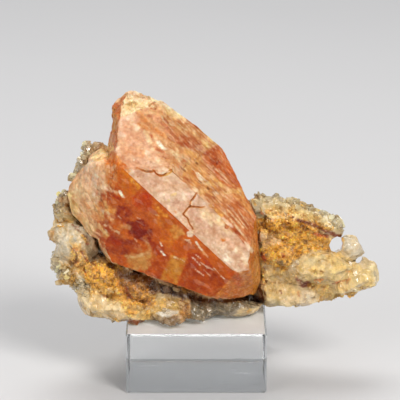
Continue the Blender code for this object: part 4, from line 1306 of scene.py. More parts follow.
QUARTZ_MARKS: tuple[Streak | Patch, ...] = marks(
    Patch(SMOKY_TAN, 0.4, 0.85, (
        (-23.2, 10), (-22.6, 11.6), (-21, 12.2), (-19, 11.4), (-20.8, 9.4), (-22.4, 8.4),
    )),
    (MILKY, 0.24, 0.8, (-22.8, 10.8), (-22.6, 9.6)), (GREY, 0.8, 0.7, (-24, 8), (-23.2, 4.4)),
    Patch(SMOKY_TAN, 0.6, 0.8, ((-28.4, 2.4), (-25.6, 2.4), (-25.2, -3), (-28, -4.4))),
    (UMBER, 0.36, 0.5, (-27.6, 0), (-26, -1.6)), (BROWN, 0.3, 0.5, (-26.8, 1.6), (-25.6, 0.8)),
    (GLINT, 0.18, 0.8, (-27.8, 2.2), (-26.6, 0.6)), (STRAW_GREY, 0.7, 0.8, (-28.4, -2.8), (-24.4, -4.4)),
    Patch(TAN_QUARTZ, 0.4, 0.85, ((-30.4, -6.4), (-28.8, -5.6), (-28.6, -9.6), (-30, -9.8))),
    Patch(MILKY, 0.6, 0.85, (
        (-28.8, -4.8), (-25.2, -4), (-20.2, -7.2), (-20.2, -12), (-22, -13.2), (-24.8, -8.4), (-27.2, -15),
        (-29.2, -10),
    )),
    Patch(GREY_WARM, 0.3, 0.85, ((-24.4, -8), (-20.4, -9.2), (-20.4, -11.6), (-22, -12.6), (-24, -10))),
    # The pale grey and glint streaks on the grey crystal are partly its own pale streaks and partly painted
    # highlights.
    (PALE_GREY_AND_GLINT, 0.24, 0.6, (-27.6, -5.6), (-26.8, -9.2)), (GLINT, 0.16, 0.7, (-26.2, -4.8), (-26.6, -7.6)),
    (GLINT, 0.18, 0.6, (-28.2, -7), (-28.4, -9.4)), (PALE_GREY_AND_GLINT, 0.14, 0.8, (-25.4, -6.6), (-24.8, -8.4)),
    (PALE_GREY_AND_GLINT, 0.16, 0.8, (-26.8, -9), (-26.4, -11)), (PALE_GREY_AND_GLINT, 0.14, 0.7, (-24.4, -5.2), (-23, -6)),
    (PALE_GREY_AND_GLINT, 0.14, 0.6, (-23.6, -9.2), (-22.4, -10.4)), (BROWN, 0.26, 0.5, (-25, -5.6), (-22, -8)),
    (RUST, 0.18, 0.8, (-25.6, -5), (-24.4, -5.4)),
    (UMBER, 0.4, 0.8, (-22.8, -6), (-21.2, -7.4), (-20.4, -9)),
    (DARK_CRUST_AND_SHADE, 0.36, 0.8, (-21.8, -5.6), (-21.2, -6.2)), (OCHRE, 0.32, 0.7, (-23.6, -7.2), (-22.4, -8.6)),
    # The pale grey streaks here and two lines below are painted highlights: glints on the clear crystals at
    # the lower left.
    (RUST, 0.26, 0.8, (-22.8, -8.8), (-22.4, -8.8)), (PALE_GREY_AND_GLINT, 0.44, 0.9, (-30, -11.2), (-28.8, -10.4)),
    (SMOKE, 0.32, 0.7, (-29.2, -11.8), (-28.6, -12.8)),
    (PALE_GREY_AND_GLINT, 0.52, 0.9, (-29.4, -13.8), (-26.8, -14.6)),
    (SMOKE, 0.16, 0.8, (-29.8, -14.4), (-29.4, -14.6)),
    Patch(OCHRE_PALE, 0.5, 0.8, (
        (-26.2, -8.4), (-24, -8.6), (-22.8, -11.2), (-21.6, -12.4), (-22.4, -15.2), (-24.8, -14),
        (-26, -11.2),
    )),
    (RUST, 0.28, 0.85, (-25.4, -9.6), (-24.4, -10)), (OXBLOOD, 0.36, 0.9, (-25, -12.6), (-24.6, -12.2)),
    (STRAW, 0.4, 0.6, (-25.8, -11), (-24.6, -11.6)), (PALE_GREY_AND_GLINT, 0.3, 0.7, (-26, -13.6), (-25.6, -13.2)),
    Patch(OCHRE, 0.6, 0.88, (
        (-22.4, -12.4), (-20, -12.4), (-16, -13.6), (-15.6, -16.8), (-18.4, -18.4), (-21.6, -17.6),
        (-23.2, -15.2),
    )),
    (OCHRE_BRIGHT, 0.6, 0.7, (-20.4, -13.6), (-17.6, -16)),
    (OCHRE_BRIGHT, 0.4, 0.8, (-17.6, -15.8), (-16.8, -16.6)),
    *dots(
        OXBLOOD, 0.2, 0.8, (0.3, -0.2),
        (-22, -15), (-20.2, -14), (-19.2, -15.2), (-18.4, -14.4), (-17.8, -16.2), (-20.8, -16.6),
        (-19.4, -17.6), (-21.6, -13.6), (-16.8, -14.8), (-22.8, -14),
    ),
    # Dark marks under the crystal's lower edge: dark iron crust, with the shadow of the overhang painted
    # in.
    Patch(DARK_CRUST_AND_SHADE, 0.3, 0.9, ((-20.6, -10.4), (-18.4, -10.4), (-18, -12.2), (-19.2, -12.4), (-20.4, -11.4))),
    (DARK_CRUST_AND_SHADE, 0.4, 0.85, (-17.2, -11), (-16.6, -12)), (OCHRE_BRIGHT, 0.4, 0.9, (-18.4, -11.6), (-17.6, -12.4)),
    (UMBER, 0.5, 0.75, (-18.4, -12.8), (-15.6, -13.6)),
    (GREY_WARM, 0.6, 0.7, (-20.4, -12.2), (-18.8, -13.6)),
    (PALE_GREY_AND_GLINT, 0.8, 0.75, (-24, -16), (-22.4, -16.8)), (OCHRE, 0.2, 0.6, (-23.2, -16.6), (-22.4, -15.6)),
    # Dark marks under the crystal's lower edge: dark iron crust, with the shadow of the overhang painted
    # in.
    Patch(UMBER, 0.5, 0.85, (
        (-16.4, -14), (-12.8, -14), (-8.4, -16.2), (-7.6, -18.4), (-12, -18.8), (-15.6, -18.8),
        (-16.8, -16.8),
    )),
    (OXBLOOD, 0.7, 0.7, (-16, -16.6), (-14.6, -18)), (TAN, 0.24, 0.6, (-15, -15.4), (-14, -16.8)),
    (DARK_CRUST_AND_SHADE, 0.4, 0.6, (-14, -14.4), (-12, -15.2)), (TAN, 0.5, 0.5, (-13.4, -17.6), (-11.8, -18)),
    (DARK_CRUST_AND_SHADE, 0.4, 0.8, (-10, -16.6), (-8.8, -17.6)),
    Patch(STRAW, 0.2, 0.85, ((-8.8, -16.8), (-7, -17), (-7.2, -18), (-8.2, -17.8))),
    Patch(CREAM_QUARTZ, 0.6, 0.9, (
        (-24.2, -18), (-20.4, -17.4), (-14.8, -18.8), (-13.6, -22.4), (-17.6, -22.4), (-19.6, -23.6),
        (-22.8, -23.2), (-24.6, -20),
    )),
    # This pale cream streak is a painted highlight.
    (PALE_CREAM, 0.6, 0.8, (-20, -20.4), (-16.4, -21.8)),
    (PALE_CREAM, 0.5, 0.5, (-23.2, -19.6), (-22.4, -22)),
    (OCHRE_PALE, 0.8, 0.7, (-22, -18.4), (-19.2, -18.8)), (RUST, 0.32, 0.85, (-19, -19.2), (-18.6, -19.2)),
    (OCHRE_PALE, 0.6, 0.8, (-22.4, -16.4), (-20.4, -17.6)),
    Patch(TAN_QUARTZ_PALE, 0.4, 0.9, (
        (-20, -23.4), (-14.8, -22.2), (-14.4, -25.6), (-18.4, -25.4), (-19.6, -24.2),
    )),
    Patch(OCHRE, 0.5, 0.8, (
        (-15.6, -18.4), (-10, -17.6), (-8.4, -19.2), (-9.6, -21.2), (-13.2, -21.2), (-14.8, -20),
    )),
    *dots(
        UMBER, 0.26, 0.75, (0.4, -0.2),
        (-14.4, -18.8), (-13.4, -19.8), (-12.4, -18.6), (-11.2, -19.4), (-10, -18.2), (-10.6, -20.6),
        (-14, -20.8), (-9.2, -19.6), (-11.8, -20.6), (-15, -19.6),
    ),
    *dots(
        PALE_CREAM, 0.2, 0.7, (0.2, -0.2),
        (-13, -19.2), (-12, -19.8), (-10.8, -18.6), (-9.6, -20.2), (-13.6, -20.4),
    ),
    Patch(STRAW_GOLD, 0.4, 0.85, ((-14.6, -21.6), (-10, -21.2), (-8.8, -23.2), (-12, -24), (-14.4, -23.6))),
    (BROWN, 0.52, 0.85, (-14.4, -24.2), (-10, -25)),
    Patch(STRAW_GOLD, 0.4, 0.85, (
        (-10.2, -21.2), (-8.4, -19.6), (-2.4, -19.6), (-2, -21.6), (-6, -21.8), (-9.2, -22.8),
    )),
    (STRAW, 0.5, 0.6, (-8, -20), (-4.8, -20.8)),
    Patch(SMOKY_BROWN, 0.5, 0.85, ((-9.6, -23.2), (-3.6, -23.2), (-3.2, -25.4), (-9.2, -25.6))),
    # Painted highlight: a white glint on the quartz below the crystal.
    Patch(PALE_GREY_AND_GLINT, 0.18, 0.95, (
        (-9, -22.6), (-6.4, -21.8), (-4.4, -22), (-4.6, -22.6), (-6, -23.4), (-8, -23.2),
    )),
    Patch(GOLD_BROWN, 0.5, 0.8, ((-4, -20), (-1.6, -20.4), (-1.2, -24.8), (-3.8, -25.2))),
    Patch(SMOKE, 0.4, 0.9, (
        (-2, -20.4), (7.2, -19.8), (12, -20.2), (11.2, -21.6), (8, -21.6), (6.4, -23.2), (4, -24.4),
        (-1.2, -24.8),
    )),
    (SMOKE_LIGHT, 0.6, 0.4, (0, -21.2), (3.2, -22.4)),
    (GREY, 0.26, 0.7, (4.2, -24), (6.4, -22.8), (8.2, -21.4)),
    (SMOKY_BROWN, 0.3, 0.6, (-0.8, -23.6), (2.8, -24)),
    # These dark and umber lines along the crystal's lower edge are dark crust, with the shadow of the
    # overhang painted in.
    (DARK_CRUST_AND_SHADE, 0.44, 0.85, (-8, -17), (0, -20), (5.6, -20.2)), (UMBER, 0.48, 0.6, (-7, -18.4), (-1, -20)),
    (DARK_CRUST_AND_SHADE, 0.52, 0.85, (9.6, -19.6), (12.4, -20.2)), (OXBLOOD, 0.52, 0.8, (11.8, -16.8), (12.4, -19.6)),
    (UMBER, 0.3, 0.7, (6, -19.2), (9.2, -19.2)),
    Patch(MILKY_STRAW, 0.5, 0.9, (
        (8.4, 3.2), (9.8, 3.2), (13.6, 2.4), (20, 0.2), (26.4, -2.2), (28.6, -5.2), (27.2, -6.4),
        (24.4, -4.8), (19.6, -2.2), (12.4, -1.4), (9.6, 0.4),
    )),
    (PALE_GREY_AND_GLINT, 0.4, 0.8, (8.8, 3.2), (9.4, 2)),
    # These smoke dots on the wing's clear rim are painted see-through darkness: dark spots standing in for
    # the dark backdrop seen through the clear quartz.
    *dots(
        SMOKE, 0.24, 0.7, (0.4, -0.3),
        (12.6, 1), (15.4, 0.4), (17, 0.6), (18.4, -0.2), (11.2, 0.8),
    ),
    (PALE_GREY_AND_GLINT, 0.32, 0.5, (14, 1.6), (18, 0.8), (22, -0.8), (26, -2.6)),
    Patch(GREY_WARM, 0.4, 0.8, ((10.4, 0), (12.4, -0.4), (13.6, -3.6), (11.2, -4))),
    (SMOKE, 0.4, 0.6, (11.6, -2.4), (13.6, -3.8)), (OCHRE, 0.32, 0.7, (10.4, 0.4), (11.2, -1)),
    (RUST, 0.2, 0.8, (12.2, -2.4), (12.6, -2.8)),
    Patch(STRAW, 0.5, 0.85, (
        (12.4, -0.8), (15.2, -1.2), (20, -2), (24, -3.8), (22.4, -4.4), (18.4, -3.8), (14, -3.6),
    )),
    (GOLD, 0.4, 0.5, (15.2, -2.6), (17.8, -3.2)), (OXBLOOD, 0.22, 0.9, (18.2, -3.4), (18.6, -3.4)),
    (RUST, 0.26, 0.7, (14.2, -3.8), (15.2, -4)),
    Patch(OCHRE, 0.6, 0.9, (
        (11.6, -3.8), (20, -3.6), (24, -6), (26.8, -8), (26.8, -9.6), (22.4, -10.4), (18, -12.4),
        (16.8, -14), (12.4, -12.8), (11.4, -8),
    )),
    Patch(OCHRE_BRIGHT, 0.8, 0.62, (
        (12.6, -4.2), (19.6, -4.4), (23.4, -7), (21, -10.2), (14.6, -11.8), (12, -8),
    )),
    (OCHRE_BRIGHT, 0.48, 0.85, (19.2, -8.6), (21.8, -9.4)),
    (OCHRE_BRIGHT, 0.8, 0.7, (12.4, -10), (15.6, -11.6)), (OCHRE_BRIGHT, 0.8, 0.6, (14.4, -4.8), (16, -6)),
    (OCHRE_BRIGHT, 0.6, 0.6, (18, -12.4), (16.4, -14)),
    *dots(
        GOLD_BROWN, 0.22, 0.75, (0.4, -0.2),
        (12.4, -4.8), (13.6, -6), (16.6, -5.2), (17.6, -4.4), (19, -5.8), (16.8, -8.2), (15.6, -9.4),
        (16.6, -11.2), (18, -10), (20.6, -10.4), (22.6, -11), (20, -7.2), (21.8, -8), (14, -5.2),
        (13.2, -11.2), (17, -6.8),
    ),
    (RUST, 0.28, 0.8, (12.4, -10.6), (13, -12)), (RUST, 0.24, 0.8, (16.4, -10.8), (16.8, -11.6)),
    Patch(ROSE_QUARTZ, 0.3, 0.9, ((11.2, -6.2), (15, -6.8), (15.4, -9.2), (12.4, -9.8), (11.4, -8.4))),
    Patch(SMOKE, 0.2, 0.9, ((15.4, -12.4), (16.8, -12), (16.8, -13.2), (15.8, -12.8))),
    (OXBLOOD, 0.48, 0.85, (19.6, -4), (22.4, -4.8), (24.4, -5.8), (26.6, -6.8), (28.2, -7.4)),
    (RUST, 0.48, 0.7, (22.8, -6.8), (25.4, -7.2)), (GREY, 0.22, 0.7, (22.6, -6.6), (23, -7.2)),
    (GOLD_BROWN, 0.44, 0.6, (20.4, -5.2), (21.6, -6)), (OCHRE, 0.3, 0.7, (23, -4.4), (23.8, -5)),
    Patch(PALE_STRAW, 0.4, 0.85, ((23.2, -2.4), (26.2, -2.6), (28.2, -5.2), (26.8, -5.8), (24.4, -4.6))),
    (PALE_GREY_AND_GLINT, 0.3, 0.7, (24, -2.8), (26.4, -4.8)),
    Patch(MILKY, 0.4, 0.85, (
        (28.4, -6.8), (30.6, -7.2), (32.6, -9.6), (32.8, -11.6), (30.4, -12), (28.6, -10.2),
    )),
    (OCHRE, 0.26, 0.7, (28.4, -7.6), (28.6, -9.6)),
    Patch(STRAW, 0.6, 0.9, (
        (19.2, -12.4), (23.6, -10.4), (27.2, -10), (30.4, -12), (36.2, -14), (36.6, -16.2), (34.2, -18.6),
        (26, -19.8), (23.2, -18.4), (19.6, -15.2),
    )),
    (MILKY_STRAW, 0.8, 0.8, (21.2, -12.8), (25, -11.4)), (STRAW_GOLD, 0.6, 0.4, (25, -12.4), (29, -13.6)),
    (PALE_STRAW, 0.8, 0.6, (34.4, -13.6), (36, -16.8)), (GLINT, 0.32, 0.8, (32.8, -15.2), (33.4, -15.8)),
    (GREY, 0.2, 0.7, (35, -14.8), (35.4, -15.6)), (GREY_WARM, 0.6, 0.4, (31, -15.6), (31.6, -17.2)),
    (STRAW_GOLD, 0.4, 0.6, (20, -13.6), (24, -14.4)), (GOLD, 0.28, 0.7, (24, -14.2), (24.4, -14.4)),
    (GOLD, 0.24, 0.7, (29.4, -14.2), (30, -14.4)),
    (OXBLOOD, 0.52, 0.92, (19.4, -16.2), (20.6, -17), (21.6, -16.6)),
    (RUST, 0.24, 0.8, (19, -15.6), (19.8, -16.2)), (AMBER, 0.28, 0.6, (23.2, -16.2), (24.6, -16)),
    (OXBLOOD, 0.2, 0.9, (26.6, -16.6), (27.6, -16.4)), (AMBER, 0.18, 0.6, (27.6, -16.4), (30, -15.8)),
    (OCHRE_PALE, 0.6, 0.7, (22.2, -17.2), (26, -17.8)),
    (OCHRE_PALE, 0.5, 0.6, (27.6, -17.2), (29.2, -17.6)),
    Patch(STRAW_TAN, 0.6, 0.85, (
        (12.4, -14), (18.8, -14.2), (19.8, -18), (18, -20), (13.6, -20.6), (12.4, -18),
    )),
    (TAN_QUARTZ_PALE, 0.8, 0.5, (15.2, -16.4), (18.4, -17.2)),
    (MILKY_STRAW, 0.6, 0.8, (13.6, -20), (18.4, -21.2)),
    (PALE_CREAM, 0.4, 0.8, (16.8, -19.2), (18.2, -19.8)),
    Patch(PALE_ROSE, 0.3, 0.85, ((19.6, -18.2), (23.2, -18.4), (23.2, -20.2), (21.6, -21.6), (20, -20.4))),
    (GLINT, 0.2, 0.9, (21.8, -18.6), (22.6, -18.6)), (OXBLOOD, 0.24, 0.8, (16, -18.2), (16.2, -18.6)),
    (RUST, 0.24, 0.8, (19.6, -18.4), (19.8, -19.2)), (GOLD_BROWN, 0.2, 0.5, (14, -16.4), (16, -16.4)),
    Patch(STRAW_GOLD, 0.3, 0.6, ((23.4, -18.4), (26, -18), (26.8, -19.8), (24.4, -20.8))),
    (OCHRE, 0.6, 0.85, (11.8, -12.4), (12.8, -16.4)),
    *dots(
        UMBER, 0.24, 0.8, (0.2, -0.4),
        (12.4, -10.8), (12.8, -13.6), (12.2, -15), (13.2, -16), (12.2, -17.6), (12.8, -18.4),
    ),
    (TAN_QUARTZ_PALE, 0.28, 0.6, (28, -19.2), (34.4, -18.2)),
    Patch(OCHRE, 1.2, 0.7, (
        (-21.6, -12.4), (-15.6, -12.4), (-14, -16), (-10, -19.6), (-7.4, -20.4), (-10.4, -22.4),
        (-14.2, -22.4), (-17.6, -19.8), (-21.4, -18.4),
    )),
    Patch(OCHRE_PALE, 0.9, 0.6, ((-26.6, -8.8), (-23.2, -9.6), (-21.4, -13), (-23.4, -14.4), (-26.2, -12))),
    (UMBER, 0.26, 0.75, (-26, -9.4), (-24.6, -10.8), (-25, -12.4)),
    (OXBLOOD, 0.26, 0.7, (-23.8, -10.2), (-22.6, -12.2), (-21, -13)),
    (OCHRE_BRIGHT, 0.4, 0.8, (-20.4, -13.6), (-18, -15)),
    (OCHRE_BRIGHT, 0.5, 0.7, (-19.8, -16.6), (-16.8, -17.8)),
    # This dark line under the crystal is dark crust, with the shadow of the overhang painted in.
    (DARK_CRUST_AND_SHADE, 0.5, 0.7, (-18, -12.8), (-15.4, -13.6)),
    (OCHRE_BRIGHT, 0.4, 0.8, (-16.6, -13.2), (-15.6, -13.8)),
    (GOLD_BROWN, 0.5, 0.7, (-12.4, -19.6), (-9.6, -21)),
    (OCHRE_BRIGHT, 0.3, 0.75, (-11.6, -18.4), (-9, -19.6)),
    Patch(GOLD_BROWN, 0.8, 0.6, ((-16.4, -15), (-12.6, -14.8), (-8.2, -18), (-9, -20.2), (-14.4, -18.4))),
    # These umber, oxblood and dark lines under the crystal are dark crust, with the shadow of the overhang
    # painted in.
    (UMBER, 0.9, 0.8, (-16.2, -14.6), (-13.2, -15.2), (-9.6, -17)),
    (OXBLOOD, 0.5, 0.7, (-14.8, -17.4), (-14, -19.4)),
    (DARK_CRUST_AND_SHADE, 0.8, 0.85, (-9.2, -17.2), (-5, -18.4), (0.2, -19.8)),
    (UMBER, 0.6, 0.7, (0.4, -20.2), (7.6, -20), (11.6, -19.4)),
    Patch(SMOKY_BROWN, 0.5, 0.85, ((-8, -24), (-2.6, -23.2), (-2, -25.6), (-8.4, -25.6))),
    Patch(SMOKE, 0.5, 0.8, ((-1.8, -20.4), (7, -20.4), (5.4, -23.2), (-0.6, -24.8), (-1.8, -24.4))),
    Patch(TAN_QUARTZ, 0.4, 0.75, ((-4, -20.8), (-2, -20.8), (-1.8, -25.4), (-3.6, -25.6))),
    Patch(BROWN, 0.3, 0.75, ((-14, -23.8), (-10.2, -24), (-10.4, -25.4), (-14, -25.2))),
    (STRAW_GOLD, 0.7, 0.7, (-9, -21.6), (-7.2, -20.4), (-4.6, -20.2)),
)

# Opposite corners of a box around the cracks in the raised band.
CRACKED_LOW: Point = (-13.0, -14.6, 34.0)
CRACKED_HIGH: Point = (4.2, -11.0, 48.6)
# The cracks, each a chain of points.
CRACKS: tuple[tuple[Point, ...], ...] = (
    (
        (0.1, -12.4, 42.1),
        (-1.2, -13.0, 40.4),
        (-1.2, -13.1, 39.6),
        (-2.2, -13.4, 38.7),
        (-2.6, -13.5, 38.1),
        (-1.8, -13.5, 37.3),
        (-1.2, -13.6, 35.8),
        (-0.6, -13.7, 35.0),
    ),
    ((-1.2, -13.1, 39.6), (0.4, -12.8, 39.3), (3.2, -11.9, 39.5)),
    ((-8.6, -13.1, 47.2), (-7.6, -13.2, 46.1), (-6.6, -13.0, 46.0), (-5.0, -12.4, 47.0)),
    ((-11.8, -13.4, 47.7), (-10.2, -13.4, 47.0), (-8.8, -13.3, 46.8)),
)


@dataclass(frozen=True)
class Nudge:
    """A gentle push on a part of a surface, across the front view.

    Attributes:
        spot: Where the push is strongest, in millimetres right of and above the view's middle.
        reach: How far it is felt.
        move: How far it goes to the right and up.
        forward: How far it goes level towards the front.
    """

    spot: Spot
    reach: float
    move: Spot
    forward: float = 0.0

    def apply(self, points: Floats) -> None:
        """Moves the points near the spot.

        Args:
            points: The points, which move.
        """
        away = np.linalg.norm(OUTLOOK.seen(points) - np.array(self.spot), axis=1)
        push = self.move[1] * OUTLOOK.rise() + np.array([self.move[0], -self.forward, 0.0])
        points += smooth(1 - away / self.reach)[:, None] * push


@dataclass(frozen=True)
class ScheeliteSizes:
    """Sizes of the scheelite's surface detail, in millimetres.

    Attributes:
        front_spacing: Longest triangle side where the front view sees it.
        back_spacing: Longest triangle side elsewhere.
        crack_spacing: Longest triangle side along the cracks.
        crack_width: Half the width of a crack.
        crack_depth: How deep a crack goes.
        step: Height of the growth steps on the striated faces.
        step_width: Their usual width.
        wear: How far the edges are nibbled away.
        frost: Height of the frosting on the shoulder.
        hackle: Height of the rough relief on the broken top.
        fibre: Height of the fibres on the lobe.
    """

    front_spacing: float = 0.42
    back_spacing: float = 1.2
    crack_spacing: float = 0.15
    crack_width: float = 0.17
    crack_depth: float = 0.28
    step: float = 0.2
    step_width: float = 1.3
    wear: float = 0.26
    frost: float = 0.12
    hackle: float = 0.5
    fibre: float = 0.14


@dataclass
class Scheelite:
    """The orange crystal with its striated faces, cracked band, broken top and side lobe.

    Attributes:
        sizes: Sizes of its surface detail.
        grain: Its noise.
        exposure: Factors on red, green and blue that make up for the studio's light and gloss.
        darkest: The least that a channel of its colours may be.
        brightest: The most.
        nudges: Pushes that set its outline on the photograph's.
    """

    sizes: ScheeliteSizes = ScheeliteSizes()
    grain: Grain = Grain(11)
    exposure: Rgb = (0.92, 0.92, 0.78)
    darkest: float = 4.0
    brightest: float = 252.0
    nudges: tuple[Nudge, ...] = (
        Nudge((10.4, -19.2), 6.5, (-0.5, 1.5)),
        Nudge((12.4, -20.6), 5.0, (-1.2, 1.5)),
        Nudge((-18.8, 15.4), 6.0, (0.9, 0.0)),
        Nudge((-16.8, 21.0), 4.0, (0.6, 0.0)),
        Nudge((-13.0, 23.2), 4.0, (0.0, 0.4)),
    )

    def zones(self, surface: Surface) -> NDArray[np.int64]:
        """Finds the face that each triangle belongs to.

        Args:
            surface: The refined surface.

        Returns:
            For each triangle, the number of its Face.
        """
        centres = surface.points[surface.faces].mean(axis=1)
        normals = surface.face_normals()
        found = np.full(len(centres), Face.BACK.value)
        best = np.full(len(centres), LEAST_ALIKE)
        for face, a, b, c in CRYSTAL_FACES:
            plane = np.cross(np.subtract(b, a), np.subtract(c, a))
            plane = plane / np.linalg.norm(plane)
            plane = plane * np.sign(plane @ np.subtract(a, CRYSTAL_MIDDLE))
            off = np.abs((centres - np.array(a)) @ plane)
            alike = normals @ plane - 0.05 * off
            close = off < FARTHEST_OFF
            found = np.where((alike > best) & close, face.value, found)
            best = np.maximum(best, np.where(close, alike, 0))
        places = OUTLOOK.seen(centres)
        lobe = (places[:, 0] < -16.2) & (places[:, 1] < 11.6) & (centres[:, 1] < 3.0)
        lobe &= (places[:, 0] < -19.0) | (found == Face.BACK.value)
        return np.where(lobe, Face.LOBE.value, found)

    def soften(self, surface: Surface) -> None:
        """Runs the lobe into the crystal, where the solid has a ridge and a groove.

        Args:
            surface: The surface, which moves.
        """
        places = OUTLOOK.seen(surface.points)
        right, up = places[:, 0], places[:, 1]
        slope = -29.6 - right - 0.16 * up
        behind = surface.points[:, 1] - slope
        level = smooth((10.8 - up) / 3) * smooth((up + 8.5) / 3)
        beside = smooth((right + 25.0) / 3.5) * smooth((-17.0 - right) / 0.6)
        filled = level * beside * smooth((7.0 - behind) / 2) * np.maximum(behind, 0)
        surface.points[:, 1] -= filled
        places = OUTLOOK.seen(surface.points)
        beside = smooth((3.6 - np.abs(places[:, 0] + 18.6)) / 1.8)
        level = smooth((12.2 - places[:, 1]) / 2) * smooth((places[:, 1] + 9.0) / 2)
        front = smooth((1.0 - surface.points[:, 1]) / 2)
        surface.relax(0.8 * beside * level * front, 40)
        crease = off_line(OUTLOOK.seen(surface.points), (5.0, -19.6), (8.6, -15.2))
        surface.relax(0.8 * smooth((3.6 - crease) / 2.4) * (surface.points[:, 1] < 0), 30)

    def crack_distance(self, points: Floats, wander: float = 0.12) -> Floats:
        """How far each point is from the nearest crack.

        Args:
            points: Where to look.
            wander: How far the cracks stray from their straight pieces.

        Returns:
            Distances in millimetres, or FAR for points well clear of the cracks.
        """
        everywhere = np.full(len(points), FAR)
        inside = ((points > CRACKED_LOW) & (points < CRACKED_HIGH)).all(axis=1)
        if inside.any():
            everywhere[inside] = self._distance_inside(points[inside], wander)
        return everywhere

    def _distance_inside(self, points: Floats, wander: float) -> Floats:
        """How far each point of the cracked region is from the nearest crack.

        Args:
            points: Points in the cracked region.
            wander: How far the cracks stray from their straight pieces.

        Returns:
            Distances in millimetres.
        """
        near = np.full(len(points), FAR)
        moved = points
        if wander > 0:
            strays = [self.grain.value(points + shift, 0.6) for shift in (0.0, 17.0, 41.0)]
            moved = points + wander * np.stack(strays, axis=1)
        for chain in CRACKS:
            for start, end in zip(chain[:-1], chain[1:]):
                a, along = np.array(start), np.subtract(end, start)
                share = np.clip((moved - a) @ along / (along @ along), 0, 1)
                away = np.linalg.norm(moved - a - share[:, None] * along, axis=1)
                near = np.minimum(near, away)
        return near

    def spacing(self, points: Floats) -> Floats:
        """The longest triangle side wanted at each place.

        Args:
            points: The places.

        Returns:
            Lengths in millimetres.
        """
        sizes = self.sizes
        front = points[:, 1] < 1.0
        wanted = np.where(front, sizes.front_spacing, sizes.back_spacing)
        near = self.crack_distance(points, 0.0) < 3 * sizes.crack_width
        return np.where(near, sizes.crack_spacing, wanted)

    def stretched(self, points: Floats) -> Floats:
        """Squeezes points along the growth lines, so that noise over them makes streaks.

        Args:
            points: The points.

        Returns:
            Where they go.
        """
        along = np.subtract(BAND_HIGH_RIGHT, BAND_HIGH_MIDDLE)
        along = along / np.linalg.norm(along)
        run = points @ along
        return points - (run * 0.86)[:, None] * along

    def heights(self, surface: Surface, shares: Floats, bend: Floats) -> Floats:
        """How far each point moves out along its normal.

        Args:
            surface: The surface before it moves.
            shares: For each point, how much of each Face is around it.
            bend: How sharply the surface bends at each point.

        Returns:
            Distances in millimetres, below zero for inwards.
        """
        sizes, grain, points = self.sizes, self.grain, surface.points
        lines = self.stretched(points)
        across = np.cross(np.subtract(BAND_HIGH_RIGHT, BAND_HIGH_MIDDLE), (0.0, 0.8, 0.6))
        across = across / np.linalg.norm(across)
        run = points @ across / sizes.step_width + 0.9 * grain.fractal(lines, 3.0)
        ledge = (run - np.floor(run)) ** 3
        fine = grain.fractal(lines + 5, 0.9, 3)
        growth = sizes.step * (ledge + 0.6 * fine)
        frost = sizes.frost * grain.fractal(points, 0.8, 3)
        chips = grain.cells(points, 1.5)
        hackle = sizes.hackle * (chips.tilt() + 0.4 * chips.owner - 0.2)
        hackle += 0.3 * sizes.hackle * grain.fractal(points, 1.0)
        upright = points * np.array([1.0, 1.0, 0.35])
        fibre = sizes.fibre * (grain.fractal(upright, 1.3) + 0.5 * grain.fractal(upright, 0.5, 2))
        waves = 0.05 * grain.fractal(points, 4.0, 2) + 0.018 * grain.fractal(lines, 0.7, 2)
        by_face = {
            Face.BAND: 0.03 * grain.fractal(points, 1.0, 3) + 0.3 * frost,
            Face.LOWER: waves,
            Face.SHOULDER: frost,
            Face.STRIATED: growth,
            Face.FLANK: 0.7 * growth,
            Face.CORNER: waves,
            Face.TOP: hackle,
            Face.SIDE: 0.5 * hackle + frost,
            Face.LOBE: fibre + 0.15 * hackle,
            Face.BACK: 0.5 * growth + 0.4 * hackle,
        }
        total = sum(shares[:, face.value] * height for face, height in by_face.items())
        edge = smooth(bend / 0.03)
        nibble = sizes.wear * np.clip(grain.fractal(points, 0.9, 3) + 0.35, 0, 1)
        total = total * (1 - 0.6 * edge) - edge * nibble
        depth = smooth(1 - self.crack_distance(points) / sizes.crack_width)
        return total - sizes.crack_depth * depth

    def colours(self, surface: Surface, zones: NDArray[np.int64]) -> Floats:
        """Paints the crystal.

        Args:
            surface: The surface before the relief.
            zones: For each triangle, its Face's number.

        Returns:
            Colours as seen, one for each corner of each triangle.
        """
        points, grain = surface.points, self.grain
        corners = surface.faces.ravel()
        kinds = np.repeat(zones, 3)
        # Face colours, with the painted sheen of the band and shoulder and the painted shade of the lower
        # face.
        table = np.array([FACE_COLOURS_AND_LIGHT[face] for face in Face], float)
        shown = painted(surface, table[kinds], CRYSTAL_MARKS, grain, kinds, 0.8)
        lines = self.stretched(points)
        light = grain.fractal(lines + 3, 0.9, 4)[corners]
        dark = grain.fractal(lines + 60, 0.8, 4)[corners]
        cloud = grain.fractal(points, 1.6, 4)[corners]
        dust = grain.fractal(points + 9, 0.5, 3)[corners]
        _, lined, flaky = np.array([FACE_LOOKS[face] for face in Face])[kinds].T
        stripe = lined * 0.4 + 0.03
        shown += (smooth((light - 0.1) * 3) * 0.6 * stripe)[:, None] * (np.array(CREAM) - shown)
        shown += (smooth((dark - 0.15) * 3) * 0.7 * stripe)[:, None] * (np.array(RUST) - shown)
        fleck = smooth(grain.fractal(points * (1.0, 1.0, 0.6) + 90, 0.7, 3)[corners] * 4 - 0.9)
        fleck *= 0.5 * flaky
        shown += fleck[:, None] * (np.array(CREAM) - shown)
        shown *= 1 + (0.15 * cloud + 0.2 * dust)[:, None] * np.array([0.6, 1.1, 1.5])
        crack = smooth(1.7 - self.crack_distance(points) / self.sizes.crack_width)[corners]
        shown += (0.8 * crack)[:, None] * (np.array(CRACK_BROWN) - shown)
        return np.clip(shown, self.darkest, self.brightest)

